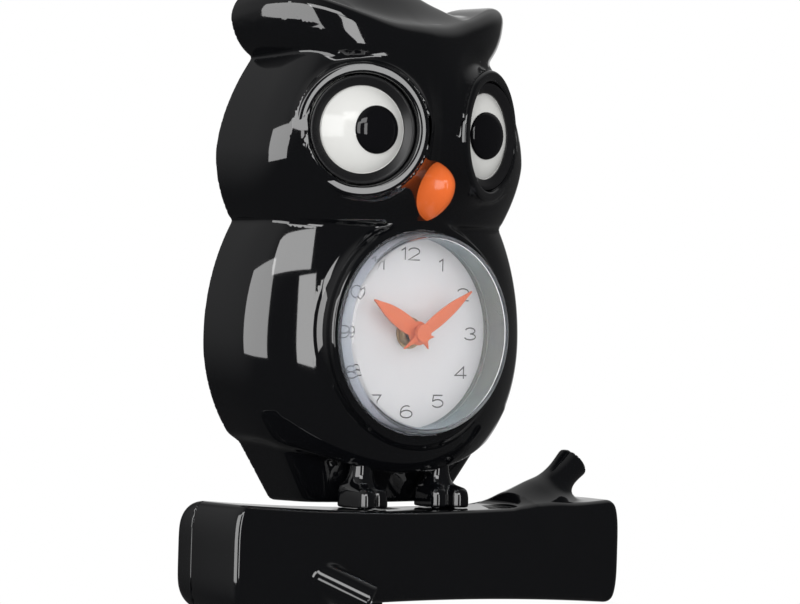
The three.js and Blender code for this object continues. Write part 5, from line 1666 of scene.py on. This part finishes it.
@dataclass
class Hand:
    """One leaf-shaped hand with its hub.

    Attributes:
        name: The piece's name.
        node: The node that it stands for.
        body: The body that it rides on.
        angle: Its angle clockwise from twelve, in degrees.
        length: From the centre to the tip.
        tail: From the centre to the end of the tail.
        half_width: Half of its widest width.
        back: The depth of its back.
        hub_radius: The hub's radius.
        hub_front: The depth of the hub's front.
        fork: How far the tail's end is cut in between two points.
        thickness: The blade's thickness.
        edge: The width of the blade's softened edges.
        hub_sink: How far the hub's back lies within the blade.
        leaf_steps: Straight pieces between two points of the outline.
    """

    name: str
    node: str
    body: Body
    angle: float
    length: float
    tail: float
    half_width: float
    back: float
    hub_radius: float
    hub_front: float
    fork: float
    thickness: float = 1.2
    edge: float = 0.18
    hub_sink: float = 0.05
    leaf_steps: int = 8

    def outline(self) -> list[Point]:
        """The leaf's outline, along its own length.

        Returns:
            Points along and across the hand.
        """
        wide = self.half_width
        shares = ((0.9, 0.28), (0.7, 0.72), (0.5, 0.95), (0.3, 1.0), (0.12, 0.86), (0.0, 0.66))
        edge = [(self.length, 0.35), *((self.length * along, wide * across) for along, across in shares)]
        if self.fork > 0:
            edge += [(-self.tail * 0.5, wide * 0.62), (-self.tail, wide * 0.8)]
        else:
            edge += [(-self.tail * 0.5, wide * 0.36), (-self.tail, 0.25)]
        upper = [(float(x), float(y)) for x, y in smooth_curve(edge, self.leaf_steps)]
        middle = [(-self.tail + self.fork, 0.0)] if self.fork > 0 else []
        return upper + middle + [(x, -y) for x, y in reversed(upper)]

    def build(self) -> None:
        """Build the blade with its hub and dress it."""
        turn = math.radians(90 - self.angle)
        right = math.cos(turn)
        up = math.sin(turn)
        outline = self.outline()
        blade = [(along * right - across * up, along * up + across * right) for along, across in outline]
        leaf = plate(self.name, blade, self.back, self.back + self.thickness, self.edge)
        boss = slug(self.hub_radius, self.back + self.hub_sink, self.hub_front, 0.1, 0.45)
        hub = turned(self.name + "_hub", boss, Facets.HUB)
        dress(leaf, HAND_ORANGE, self.body, self.node)
        dress(hub, HAND_ORANGE, self.body)


@dataclass
class Feet:
    """Two feet with two round toes each, standing on the log."""

    middle_x: float = 24.25
    toe_radius: float = 5.0
    toe_offset: float = 5.2
    toe_blend: float = 1.0
    front: float = 58.0
    inner_setback: float = 4.0
    back: float = 33.0
    bottom: float = -87.4
    bottom_edge: float = 1.2
    top: float = -75.4
    crown_fall: float = 0.25
    leg_radius: float = 5.6
    leg_depth: float = 41.6
    leg_top: float = -56.0
    leg_lift: float = 3.0
    leg_blend: float = 5.0
    room_x: Point = (12.0, 37.0)
    room_depth: Point = (30.0, 60.0)
    cell: float = 0.6

    def toe(self, across: np.ndarray, at: Places, front: float) -> np.ndarray:
        """One toe.

        Args:
            across: Places out from the toe's middle.
            at: The places to measure.
            front: The depth of its round front.

        Returns:
            About the distance in millimetres, below zero inside.
        """
        along = np.clip(at.depth, self.back + self.toe_radius, front - self.toe_radius)
        flat = np.hypot(across, at.depth - along) / self.toe_radius
        slope = np.clip((at.depth - self.back) / (front - self.back), 0.0, 1.0)
        tall = (self.top - self.bottom) * (1 - self.crown_fall * slope ** 2)
        rise = np.clip((at.height - self.bottom) / tall, 0.0, 2.0)
        return (squircle(flat, rise) - 1) * self.toe_radius

    def form(self, at: Places) -> np.ndarray:
        """One pair of feet, by the distance from the middle."""
        across = at.aside - self.middle_x
        outer = self.toe(across - self.toe_offset, at, self.front)
        inner = self.toe(across + self.toe_offset, at, self.front - self.inner_setback)
        foot = soft_max(soft_min(outer, inner, self.toe_blend), self.bottom - at.height, self.bottom_edge)
        leg = np.hypot(across, at.depth - self.leg_depth) - self.leg_radius
        leg = np.maximum(leg, between(at.height, self.bottom + self.leg_lift, self.leg_top))
        return soft_min(foot, leg, self.leg_blend)

    def build(self) -> None:
        """Build the feet one by one and dress them."""
        near, far = self.room_depth
        for side in Side:
            low_x, high_x = sorted(side.value * x for x in self.room_x)
            mesher = SkinMesher((low_x, near, self.bottom - 1), (high_x, far, self.leg_top + 1), self.cell)
            dress(mesher.mesh(f"toes_{side.word}", self.form), GLOSS_BLACK, Body.CLOCK, f"foot_{side.word}")
        refinish(STEEL, "foot_screw_left", "foot_screw_right")


@dataclass
class Perch:
    """The hollow log with its two cut twigs, split into a front and a back half.

    The shape of a twig is given as places along its axis with the radius at each.
    """

    half_length: float = 122.5
    front: float = 73.0
    back: float = 21.0
    end_top: float = -83.0
    waist_top: float = -88.0
    end_bottom: float = -137.0
    waist_bottom: float = -132.5
    front_round: float = 4.7
    back_round: float = 15.0
    face_edge: float = 1.0
    end_round: float = 4.5
    end_swell_depth: float = 1.2
    end_swell_height: float = 4.0
    split: float = 36.0
    split_edge: float = 0.5
    screw_x: float = 92.0
    screw_rise: float = 14.0
    screw_seat: float = 33.25
    screw_gap: float = 0.1
    screw_length: float = 18.0
    upper_root: Place = (80.0, 52.0, -86.0)
    upper_shape: tuple[Point, ...] = ((-10.0, 14.5), (3.0, 11.6), (13.0, 8.4), (22.0, 7.6), (33.0, 8.8))
    upper_tilt: float = math.radians(50)
    upper_blend: float = 14.0
    lower_root: Place = (-67.5, 69.0, -120.0)
    lower_shape: tuple[Point, ...] = ((-6.0, 9.0), (8.0, 9.0), (27.0, 9.0))
    lower_turn: float = math.radians(48)
    lower_dip: float = math.radians(24)
    lower_blend: float = 2.5
    twig_edge: float = 1.4
    room_x: float = 124.0
    room_depth: Point = (19.0, 94.0)
    room_bottom: float = -140.0
    room_tops: Point = (-80.0, -50.0)
    cell: float = 1.25

    def top_at(self, x: np.ndarray) -> np.ndarray:
        """The log's upper edge, which rises towards both ends."""
        return self.waist_top + (self.end_top - self.waist_top) * (x / self.half_length) ** 2

    def bottom_at(self, x: np.ndarray) -> np.ndarray:
        """The log's lower edge, which falls towards both ends."""
        return self.waist_bottom + (self.end_bottom - self.waist_bottom) * (x / self.half_length) ** 2

    def face(self, at: Places, flat: np.ndarray, rounding: float) -> np.ndarray:
        """The log's front or back with its two long edges.

        Args:
            at: The places to measure.
            flat: The distance in front of the flat face.
            rounding: The radius of the long edges.

        Returns:
            About the distance in millimetres, below zero inside.
        """
        top = soft_max(flat, at.height - self.top_at(at.x), rounding)
        bottom = soft_max(flat, self.bottom_at(at.x) - at.height, rounding)
        return soft_max(top, bottom, self.face_edge)

    def trunk(self, at: Places) -> np.ndarray:
        """The log without its twigs."""
        front = self.face(at, at.depth - self.front, self.front_round)
        back = self.face(at, self.back - at.depth, self.back_round)
        depth_share = (2 * at.depth - self.front - self.back) / (self.front - self.back)
        height_share = (2 * at.height - self.end_top - self.end_bottom) / (self.end_top - self.end_bottom)
        swell = self.end_swell_depth * depth_share ** 2 + self.end_swell_height * height_share ** 4
        return soft_max(np.maximum(front, back), at.aside - self.half_length + swell, self.end_round)

    def twig(self, at: Places, root: Place, way: Place, shape: Sequence[Point]) -> np.ndarray:
        """One cut twig.

        Args:
            at: The places to measure.
            root: Where its axis starts.
            way: The direction of its axis, in x, depth and height.
            shape: Place along the axis and radius pairs.

        Returns:
            The distance in millimetres, below zero inside.
        """
        away = [place - start for place, start in zip(at, root)]
        along = sum(reach * share for reach, share in zip(away, way))
        square = sum(reach ** 2 for reach in away)
        out = np.sqrt(np.maximum(square - along ** 2, TINY))
        curve = smooth_curve(shape)
        side = out - np.interp(along, curve[:, 0], curve[:, 1])
        cut = soft_max(side, along - shape[-1][0], self.twig_edge)
        return soft_max(cut, shape[0][0] - along, self.twig_edge)

    def form(self, at: Places) -> np.ndarray:
        """The whole log with its twigs."""
        tilt = self.upper_tilt
        turn = self.lower_turn
        dip = self.lower_dip
        upper_way = (math.sin(tilt), 0.0, math.cos(tilt))
        lower_way = (math.cos(dip) * math.sin(turn), math.cos(dip) * math.cos(turn), -math.sin(dip))
        upper = self.twig(at, self.upper_root, upper_way, self.upper_shape)
        lower = self.twig(at, self.lower_root, lower_way, self.lower_shape)
        return soft_min(soft_min(self.trunk(at), upper, self.upper_blend), lower, self.lower_blend)

    def front_form(self, at: Places) -> np.ndarray:
        """The half in front of the split."""
        return soft_max(self.form(at), self.split + SEAT_GAP / 2 - at.depth, self.split_edge)

    def back_form(self, at: Places) -> np.ndarray:
        """The half behind the split, with sinks for its screws."""
        half = soft_max(self.form(at), at.depth - self.split + SEAT_GAP / 2, self.split_edge)
        for place in self.screw_places():
            half = soft_max(half, -sink_form(at, place, self.screw_seat), self.split_edge)
        return half

    def screw_places(self) -> tuple[Point, ...]:
        """The four screws behind the log.

        Returns:
            Their places in x and height.
        """
        x = np.array(self.screw_x)
        middle = float(self.top_at(x) + self.bottom_at(x)) / 2
        ends = (-1, 1)
        heights = [middle + level * self.screw_rise for level in ends]
        return tuple((side * self.screw_x, height) for side in ends for height in heights)

    def build(self) -> None:
        """Build both halves and their screws."""
        near, far = self.room_depth
        back_top, front_top = self.room_tops
        for name, node, form, depths, top in (
            ("log_face", "log_front", self.front_form, (self.split, far), front_top),
            ("log_rear", "log_back", self.back_form, (near, self.split), back_top),
        ):
            low = (-self.room_x, depths[0], self.room_bottom)
            mesher = SkinMesher(low, (self.room_x, depths[1], top), self.cell)
            dress(mesher.mesh(name, form), GLOSS_BLACK, Body.CLOCK, node)
        seat = self.screw_seat - self.screw_gap
        ScrewSet("log_screws", "log_screw", self.screw_places(), seat, self.screw_length).build(Body.CLOCK)


@dataclass
class Movement:
    """The quartz movement: a box with a lid, a battery and a setting knob."""

    half_width: float = 28.0
    top: float = 30.0
    bottom: float = -50.0
    lid_back: float = 27.4
    lid_front: float = 28.5
    lid_round: float = 0.5
    lid_cell: float = 0.8
    hole_edge: float = 0.4
    battery_radius: float = 6.7
    battery_length: float = 49.6
    battery_height: float = -41.0
    battery_depth: float = 34.4
    battery_round: float = 0.7
    tip_radius: float = 2.6
    tip_length: float = 3.0
    tip_sink: float = 0.2
    bay_half_width: float = 26.2
    bay_half_height: float = 7.3
    bay_round: float = 1.0
    boss_radius: float = 3.4
    boss_back: float = 15.9
    boss_blend: float = 2.0
    arbor_radius: float = 1.3
    pin_radius: float = 1.6
    knob_place: Point = (11.43, -6.6)
    knob_radius: float = 5.5
    knob_depths: Point = (21.1, 27.1)
    knob_ribs: int = 20
    rib_radius: float = 0.5
    rib_sides: int = 10
    rib_setback: float = 0.3
    rib_short: float = 1.2

    def lid_form(self, at: Places) -> np.ndarray:
        """The lid with its battery bay and its pivot boss."""
        lid = block_form(
            at, (-self.half_width, self.lid_back, self.bottom), (self.half_width, self.lid_front, self.top),
            self.lid_round,
        )
        pivot = (0.0, PIVOT_HEIGHT)
        boss = rod_form(at, self.boss_radius, pivot)
        boss = np.maximum(boss, between(at.depth, self.boss_back, self.lid_front))
        bay = block_form(
            at, (-self.bay_half_width, -FAR, self.battery_height - self.bay_half_height),
            (self.bay_half_width, FAR, self.battery_height + self.bay_half_height), self.bay_round,
        )
        arbor = rod_form(at, self.arbor_radius, self.knob_place)
        holes = np.minimum(np.minimum(bay, arbor), rod_form(at, self.pin_radius, pivot))
        return soft_max(soft_min(lid, boss, self.boss_blend), -holes, self.hole_edge)

    def battery(self) -> None:
        """Build the battery along x and dress its wrap and its cap."""
        along = Matrix.Translation((0.0, -self.battery_depth, self.battery_height))
        along = along @ Matrix.Rotation(math.pi / 2, 4, "Z")
        end = self.battery_length / 2
        shoulder = end - self.tip_length
        can = slug(self.battery_radius, -end, shoulder, self.battery_round, self.battery_round)
        tip = slug(self.tip_radius, shoulder - self.tip_sink, end, 0.0, 0.5)
        dress(turned("battery_can", can, Facets.CAN, along), WRAP, Body.CLOCK, "battery")
        dress(turned("battery_tip", tip, Facets.WIRE, along), STEEL, Body.CLOCK)

    def rib_tree(self) -> bpy.types.NodeTree:
        """Build the node tree that sets grip ribs round the knob's rim.

        Returns:
            The geometry node tree.
        """
        wire = Wiring.group(
            "knob_rib_tree", "GeometryNodeTree",
            {"Geometry": "Geometry", "Rib Radius": "Float", "Rib Length": "Float", "Finish": "Material"},
            {"Geometry": "Geometry"},
        )
        given = wire.add("NodeGroupInput", {}).outputs
        sizes = {"Vertices": self.rib_sides, "Radius": given["Rib Radius"], "Depth": given["Rib Length"]}
        rib = wire.add("GeometryNodeMeshCylinder", sizes).outputs["Mesh"]
        wire.scatter(given, rib, (math.pi / 2, 0.0, 0.0))
        return wire.tree

    def knob(self) -> None:
        """Build the setting knob with its grip ribs and dress it."""
        near, far = self.knob_depths
        core_radius = self.knob_radius - self.rib_radius
        core = slug(core_radius, near, far, 0.8, 0.0)
        x, height = self.knob_place
        spot = Matrix.Translation((x, 0.0, height))
        dress(turned("knob_core", core, Facets.CAN, spot), NYLON, Body.MOTION, "set_knob")
        level = -(near + far) / 2 - self.rib_setback
        ring = [(x + right, level, height + up) for right, up in circle(core_radius, self.knob_ribs)]
        sizes = {
            "Rib Radius": self.rib_radius * MM,
            "Rib Length": (far - near - self.rib_short) * MM,
            "Finish": NYLON.material(),
        }
        dress(grown("knob_ribs", ring, self.rib_tree(), sizes), NYLON, Body.MOTION)

    def build(self) -> None:
        """Build what shows from behind, and refinish what is inside."""
        low = (-self.half_width - 1, self.boss_back, self.bottom - 1)
        mesher = SkinMesher(low, (self.half_width + 1, self.lid_front, self.top + 1), self.lid_cell)
        dress(mesher.mesh("lid_plate", self.lid_form), SATIN_BLACK, Body.CLOCK, "movement_lid")
        self.battery()
        self.knob()
        refinish(SATIN_BLACK, "movement_case")
        refinish(STEEL, "battery_contact_left", "battery_contact_right", "stator")
        refinish(NYLON, "centre_wheel", "third_wheel", "seconds_wheel", "motion_wheel", "hour_wheel")
        refinish(COPPER, "motor_coil", "pendulum_coil")
        refinish(BOARD, "circuit_board")
        refinish(STEEL, "rotor")


@dataclass
class Pendulum:
    """The hanger on its pin, the wire rod and the feathered tail."""

    pin_radius: float = 1.4
    pin_head: float = 2.8
    pin_depths: Place = (9.0, 12.7, 28.1)
    pin_edge: float = 0.3
    hanger_back: float = 13.0
    hanger_thickness: float = 2.6
    hanger_half_width: float = 4.0
    hanger_bottom: float = -34.0
    hanger_round: float = 0.6
    hanger_blend: float = 1.0
    hanger_room: tuple[Place, Place] = ((-6.0, 12.0, -39.0), (6.0, 22.0, 28.0))
    hanger_cell: float = 0.5
    eye_rim: float = 1.0
    eye_edge: float = 0.5
    post_edge: float = 0.4
    socket_below: float = 4.0
    socket_above: float = 8.0
    magnet_height: float = -23.0
    magnet_radius: float = 4.0
    magnet_depths: Point = (21.1, 26.1)
    rod_radius: float = 1.4
    rod_depth: float = 14.3
    rod_bottom: float = -138.0
    rod_length: float = 107.7
    tail_top: float = -126.0
    tail_bottom: float = -198.0
    tail_half_width: float = 20.0
    tail_neck: float = 7.0
    tail_thickness: float = 5.0
    tail_flare: float = 1.6
    tail_top_edge: float = 2.0
    tail_room: tuple[Place, Place] = ((-21.0, 11.0, -199.0), (21.0, 18.0, -125.0))
    tail_cell: float = 0.6
    feather_overlap: float = 0.4
    feather_blend: float = 0.6

    def hanger_form(self, at: Places) -> np.ndarray:
        """The hanger: a bar with an eye at the top, a magnet post and a socket for the rod."""
        pivot = (0.0, PIVOT_HEIGHT)
        wide = self.hanger_half_width
        bar = block_form(
            at, (-wide, self.hanger_back, self.hanger_bottom),
            (wide, self.hanger_back + self.hanger_thickness, PIVOT_HEIGHT + wide), self.hanger_round,
        )
        eye = soft_max(
            rod_form(at, wide + self.eye_rim, pivot),
            np.abs(at.depth - self.rod_depth) - self.hanger_thickness / 2, self.eye_edge,
        )
        post = soft_max(
            rod_form(at, self.magnet_radius, (0.0, self.magnet_height)),
            between(at.depth, self.hanger_back, self.magnet_depths[0] - SEAT_GAP), self.post_edge,
        )
        low = self.hanger_bottom - self.socket_below
        high = self.hanger_bottom + self.socket_above
        socket = np.hypot(at.x, at.depth - self.rod_depth) - self.rod_radius * 2
        socket = np.maximum(socket, between(at.height, low, high))
        joined = bar
        for part in (eye, post, socket):
            joined = soft_min(joined, part, self.hanger_blend)
        return soft_max(joined, -rod_form(at, self.pin_radius + SEAT_GAP, pivot), self.pin_edge)

    def tail_form(self, at: Places) -> np.ndarray:
        """The tail: a fan of three rounded feathers with grooves between them."""
        feather = self.tail_half_width / 1.5
        shoulder = self.tail_bottom + feather
        spread = np.clip((self.tail_top - at.height) / (self.tail_top - shoulder), 0.0, 1.0)
        flare = 1 - (1 - spread) ** self.tail_flare
        third = (self.tail_neck + (self.tail_half_width - self.tail_neck) * flare) / 1.5
        half = self.tail_thickness / 2
        lift = np.abs(at.depth - self.rod_depth) / half
        fan = np.full_like(at.x, FAR)
        for i, end in ((-1, shoulder), (0, shoulder - feather / 2), (1, shoulder)):
            below = np.minimum(at.height - end, 0.0)
            out = np.hypot(at.x - i * third, below) / (third / 2 + self.feather_overlap)
            fan = soft_min(fan, (squircle(out, lift) - 1) * half, self.feather_blend)
        return soft_max(fan, at.height - self.tail_top, self.tail_top_edge)

    def build(self) -> None:
        """Build the pendulum's pieces and dress them."""
        hanger = SkinMesher(*self.hanger_room, self.hanger_cell)
        dress(hanger.mesh("hanger_bar", self.hanger_form), SATIN_BLACK, Body.PENDULUM, "pendulum_hanger")
        magnet = slug(self.magnet_radius, *self.magnet_depths, 0.4, 0.4)
        spot = Matrix.Translation((0.0, 0.0, self.magnet_height))
        dress(turned("magnet_slug", magnet, Facets.PIN, spot), STEEL, Body.PENDULUM, "pendulum_magnet")
        back, collar, front = self.pin_depths
        pin = rounded_profile(
            Corner(0.0, back),
            Corner(self.pin_head, back, 0.6),
            Corner(self.pin_head, collar, 0.2),
            Corner(self.pin_radius, collar),
            Corner(self.pin_radius, front, 0.2),
            Corner(0.0, front),
        )
        spot = Matrix.Translation((0.0, 0.0, PIVOT_HEIGHT))
        dress(turned("pivot_pin", pin, Facets.PIN, spot), STEEL, Body.CLOCK, "pendulum_pin")
        wire = slug(self.rod_radius, 0.0, self.rod_length, 0.3, 0.3)
        upright = Matrix.Translation((0.0, -self.rod_depth, self.rod_bottom))
        upright = upright @ Matrix.Rotation(-math.pi / 2, 4, "X")
        dress(turned("wire_rod", wire, Facets.WIRE, upright), STEEL, Body.PENDULUM, "pendulum_rod")
        tail = SkinMesher(*self.tail_room, self.tail_cell)
        dress(tail.mesh("feather_tail", self.tail_form), GLOSS_BLACK, Body.PENDULUM, "pendulum_tail")


@dataclass(frozen=True)
class Softbox:
    """One flat studio light that faces the dial.

    Attributes:
        name: The light's name.
        left: The direction of its left edge, in degrees from straight in front.
        right: The direction of its right edge.
        low: The direction of its lower edge, in degrees above the dial.
        high: The direction of its upper edge.
        radiance: How bright its face is, where 1 is white.
        distance: Metres from the dial.
        mirrored: Whether glossy surfaces show it.
    """

    name: str
    left: float
    right: float
    low: float
    high: float
    radiance: float
    distance: float = 2.3
    mirrored: bool = True

    def build(self) -> None:
        """Put the light in the scene."""
        light = bpy.data.lights.new(self.name, "AREA")
        light.shape = "RECTANGLE"
        light.size = 2 * self.distance * math.tan(math.radians(self.right - self.left) / 2)
        light.size_y = 2 * self.distance * math.tan(math.radians(self.high - self.low) / 2)
        light.energy = self.radiance * math.pi * light.size * light.size_y
        way = direction(math.radians(self.left + self.right) / 2, math.radians(self.low + self.high) / 2)
        lamp = linked(self.name, light)
        lamp.location = Vector((0.0, -DIAL_FRONT, -HANG_HEIGHT)) * MM + way * self.distance
        lamp.rotation_euler = way.to_track_quat("Z", "Y").to_euler()
        lamp.visible_glossy = self.mirrored


@dataclass(frozen=True)
class Glow:
    """A soft pale patch of the surroundings, as a mirror shows it.

    Attributes:
        azimuth: Degrees from straight in front, to the right.
        elevation: Degrees above the dial.
        inner: The angle from its middle within which it is at full strength.
        outer: The angle where it ends.
        strength: How bright it is.
    """

    azimuth: float
    elevation: float
    inner: float
    outer: float
    strength: float


@dataclass
class Studio:
    """The camera, the lights, the pale surroundings and the floor."""

    azimuth: float = math.radians(-37.8297)
    elevation: float = math.radians(0.3618)
    roll: float = math.radians(1.6518)
    distance: float = 1992.74
    shift_right: float = -3.804
    shift_up: float = 15.45
    focal_pixels: float = 3970.69
    image_width: float = 800.0
    sensor: float = 36.0
    clip_end: float = 50.0
    floor_height: float = -203.0
    floor_radius: float = 550.0
    floor_forward: float = 40.0
    floor_sides: int = 96
    ambient: float = 0.24
    dim: float = 0.05
    glows: tuple[Glow, ...] = (
        Glow(-105.0, 38.0, 15.0, 70.0, 0.2),
        Glow(125.0, 45.0, 10.0, 45.0, 0.2),
        Glow(142.0, 0.0, 8.0, 22.0, 0.45),
    )
    lamps: tuple[Softbox, ...] = (
        Softbox("left_window", -88.0, -44.0, -10.0, 27.0, 3.3),
        Softbox("front_strip", -24.0, -14.0, -8.0, 18.0, 4.2),
        Softbox("upper_window", -44.0, -18.0, 20.0, 34.0, 4.0),
        Softbox("right_fill", 0.0, 70.0, -20.0, 50.0, 0.95, mirrored=False),
    )

    def camera(self) -> None:
        """Put the camera where the photograph was taken from."""
        back = direction(self.azimuth, self.elevation)
        level = Vector((math.cos(self.azimuth), math.sin(self.azimuth), 0.0))
        upright = back.cross(level)
        right = level * math.cos(self.roll) + upright * math.sin(self.roll)
        up = upright * math.cos(self.roll) - level * math.sin(self.roll)
        eye = right * self.shift_right + up * self.shift_up + back * self.distance
        data = bpy.data.cameras.new("photo_camera")
        data.sensor_width = self.sensor
        data.lens = self.focal_pixels * self.sensor / self.image_width
        data.clip_end = self.clip_end
        camera = linked("photo_camera", data)
        placed = Matrix((right, up, back)).transposed().to_4x4()
        placed.translation = (eye + Vector((0.0, -DIAL_FRONT, -HANG_HEIGHT))) * MM
        camera.matrix_world = placed
        bpy.context.scene.camera = camera

    def surroundings(self) -> None:
        """Make the world: white where it is seen, and in reflections dim with a few pale patches."""
        world = bpy.data.worlds.new("white_studio")
        bpy.context.scene.world = world
        world.use_nodes = True
        wire = Wiring(world.node_tree)
        path = wire.add("ShaderNodeLightPath", {}).outputs
        place = wire.add("ShaderNodeTexCoord", {}).outputs["Generated"]
        way = wire.add("ShaderNodeVectorMath", {0: place}, operation="NORMALIZE").outputs[0]
        mirrored: object = self.dim
        for glow in self.glows:
            middle = direction(math.radians(glow.azimuth), math.radians(glow.elevation))
            facing = wire.add("ShaderNodeVectorMath", {0: way, 1: middle}, operation="DOT_PRODUCT")
            lobe = wire.add("ShaderNodeMapRange", {
                "Value": facing.outputs["Value"],
                "From Min": math.cos(math.radians(glow.outer)),
                "From Max": math.cos(math.radians(glow.inner)),
                "To Max": glow.strength,
            }, interpolation_type="SMOOTHSTEP")
            mirrored = wire.calc("ADD", mirrored, lobe.outputs["Result"])
        shares = {"Factor": path["Is Glossy Ray"], "A": self.ambient, "B": mirrored}
        lit = wire.add("ShaderNodeMix", shares, data_type="FLOAT").outputs["Result"]
        seen = wire.calc("MAXIMUM", path["Is Camera Ray"], path["Is Transmission Ray"])
        shares = {"Factor": seen, "A": lit, "B": 1.0}
        strength = wire.add("ShaderNodeMix", shares, data_type="FLOAT").outputs["Result"]
        white = (1.0, 1.0, 1.0, 1.0)
        wire.feed(wire.tree.nodes["Background"], {"Strength": strength, "Color": white})

    def floor(self) -> None:
        """Lay a round pale floor under the tail."""
        rim = circle(self.floor_radius, self.floor_sides)
        ring = [(x, y - self.floor_forward, self.floor_height) for x, y in rim]
        laid = place_object("pale_floor", ring, [tuple(range(self.floor_sides))])
        laid.data.materials.append(PALE_FLOOR.material())
        laid.visible_glossy = False

    def build(self) -> None:
        """Set up the whole studio."""
        bpy.context.scene.view_settings.view_transform = "Standard"
        self.camera()
        self.surroundings()
        self.floor()
        for lamp in self.lamps:
            lamp.build()


def main() -> None:
    """Build and dress every part of the clock, then the studio round it."""
    logging.basicConfig(level=logging.INFO, format="%(message)s")
    shell = OwlShell()
    shell.build()
    BackCover(shell).build()
    Eyes(shell.eyes).build()
    Beak().build()
    DialSet().build()
    Hand("hour_leaf", "hour_hand", Body.HOUR, 300.0, 32.5, 9.5, 4.4, 52.6, 6.0, 53.8, 3.0).build()
    Hand("minute_leaf", "minute_hand", Body.MINUTE, 55.0, 37.5, 13.5, 3.3, 55.6, 4.5, 58.2, 0.0).build()
    Feet().build()
    Perch().build()
    Movement().build()
    Pendulum().build()
    Studio().build()


if __name__ == "__main__":
    main()
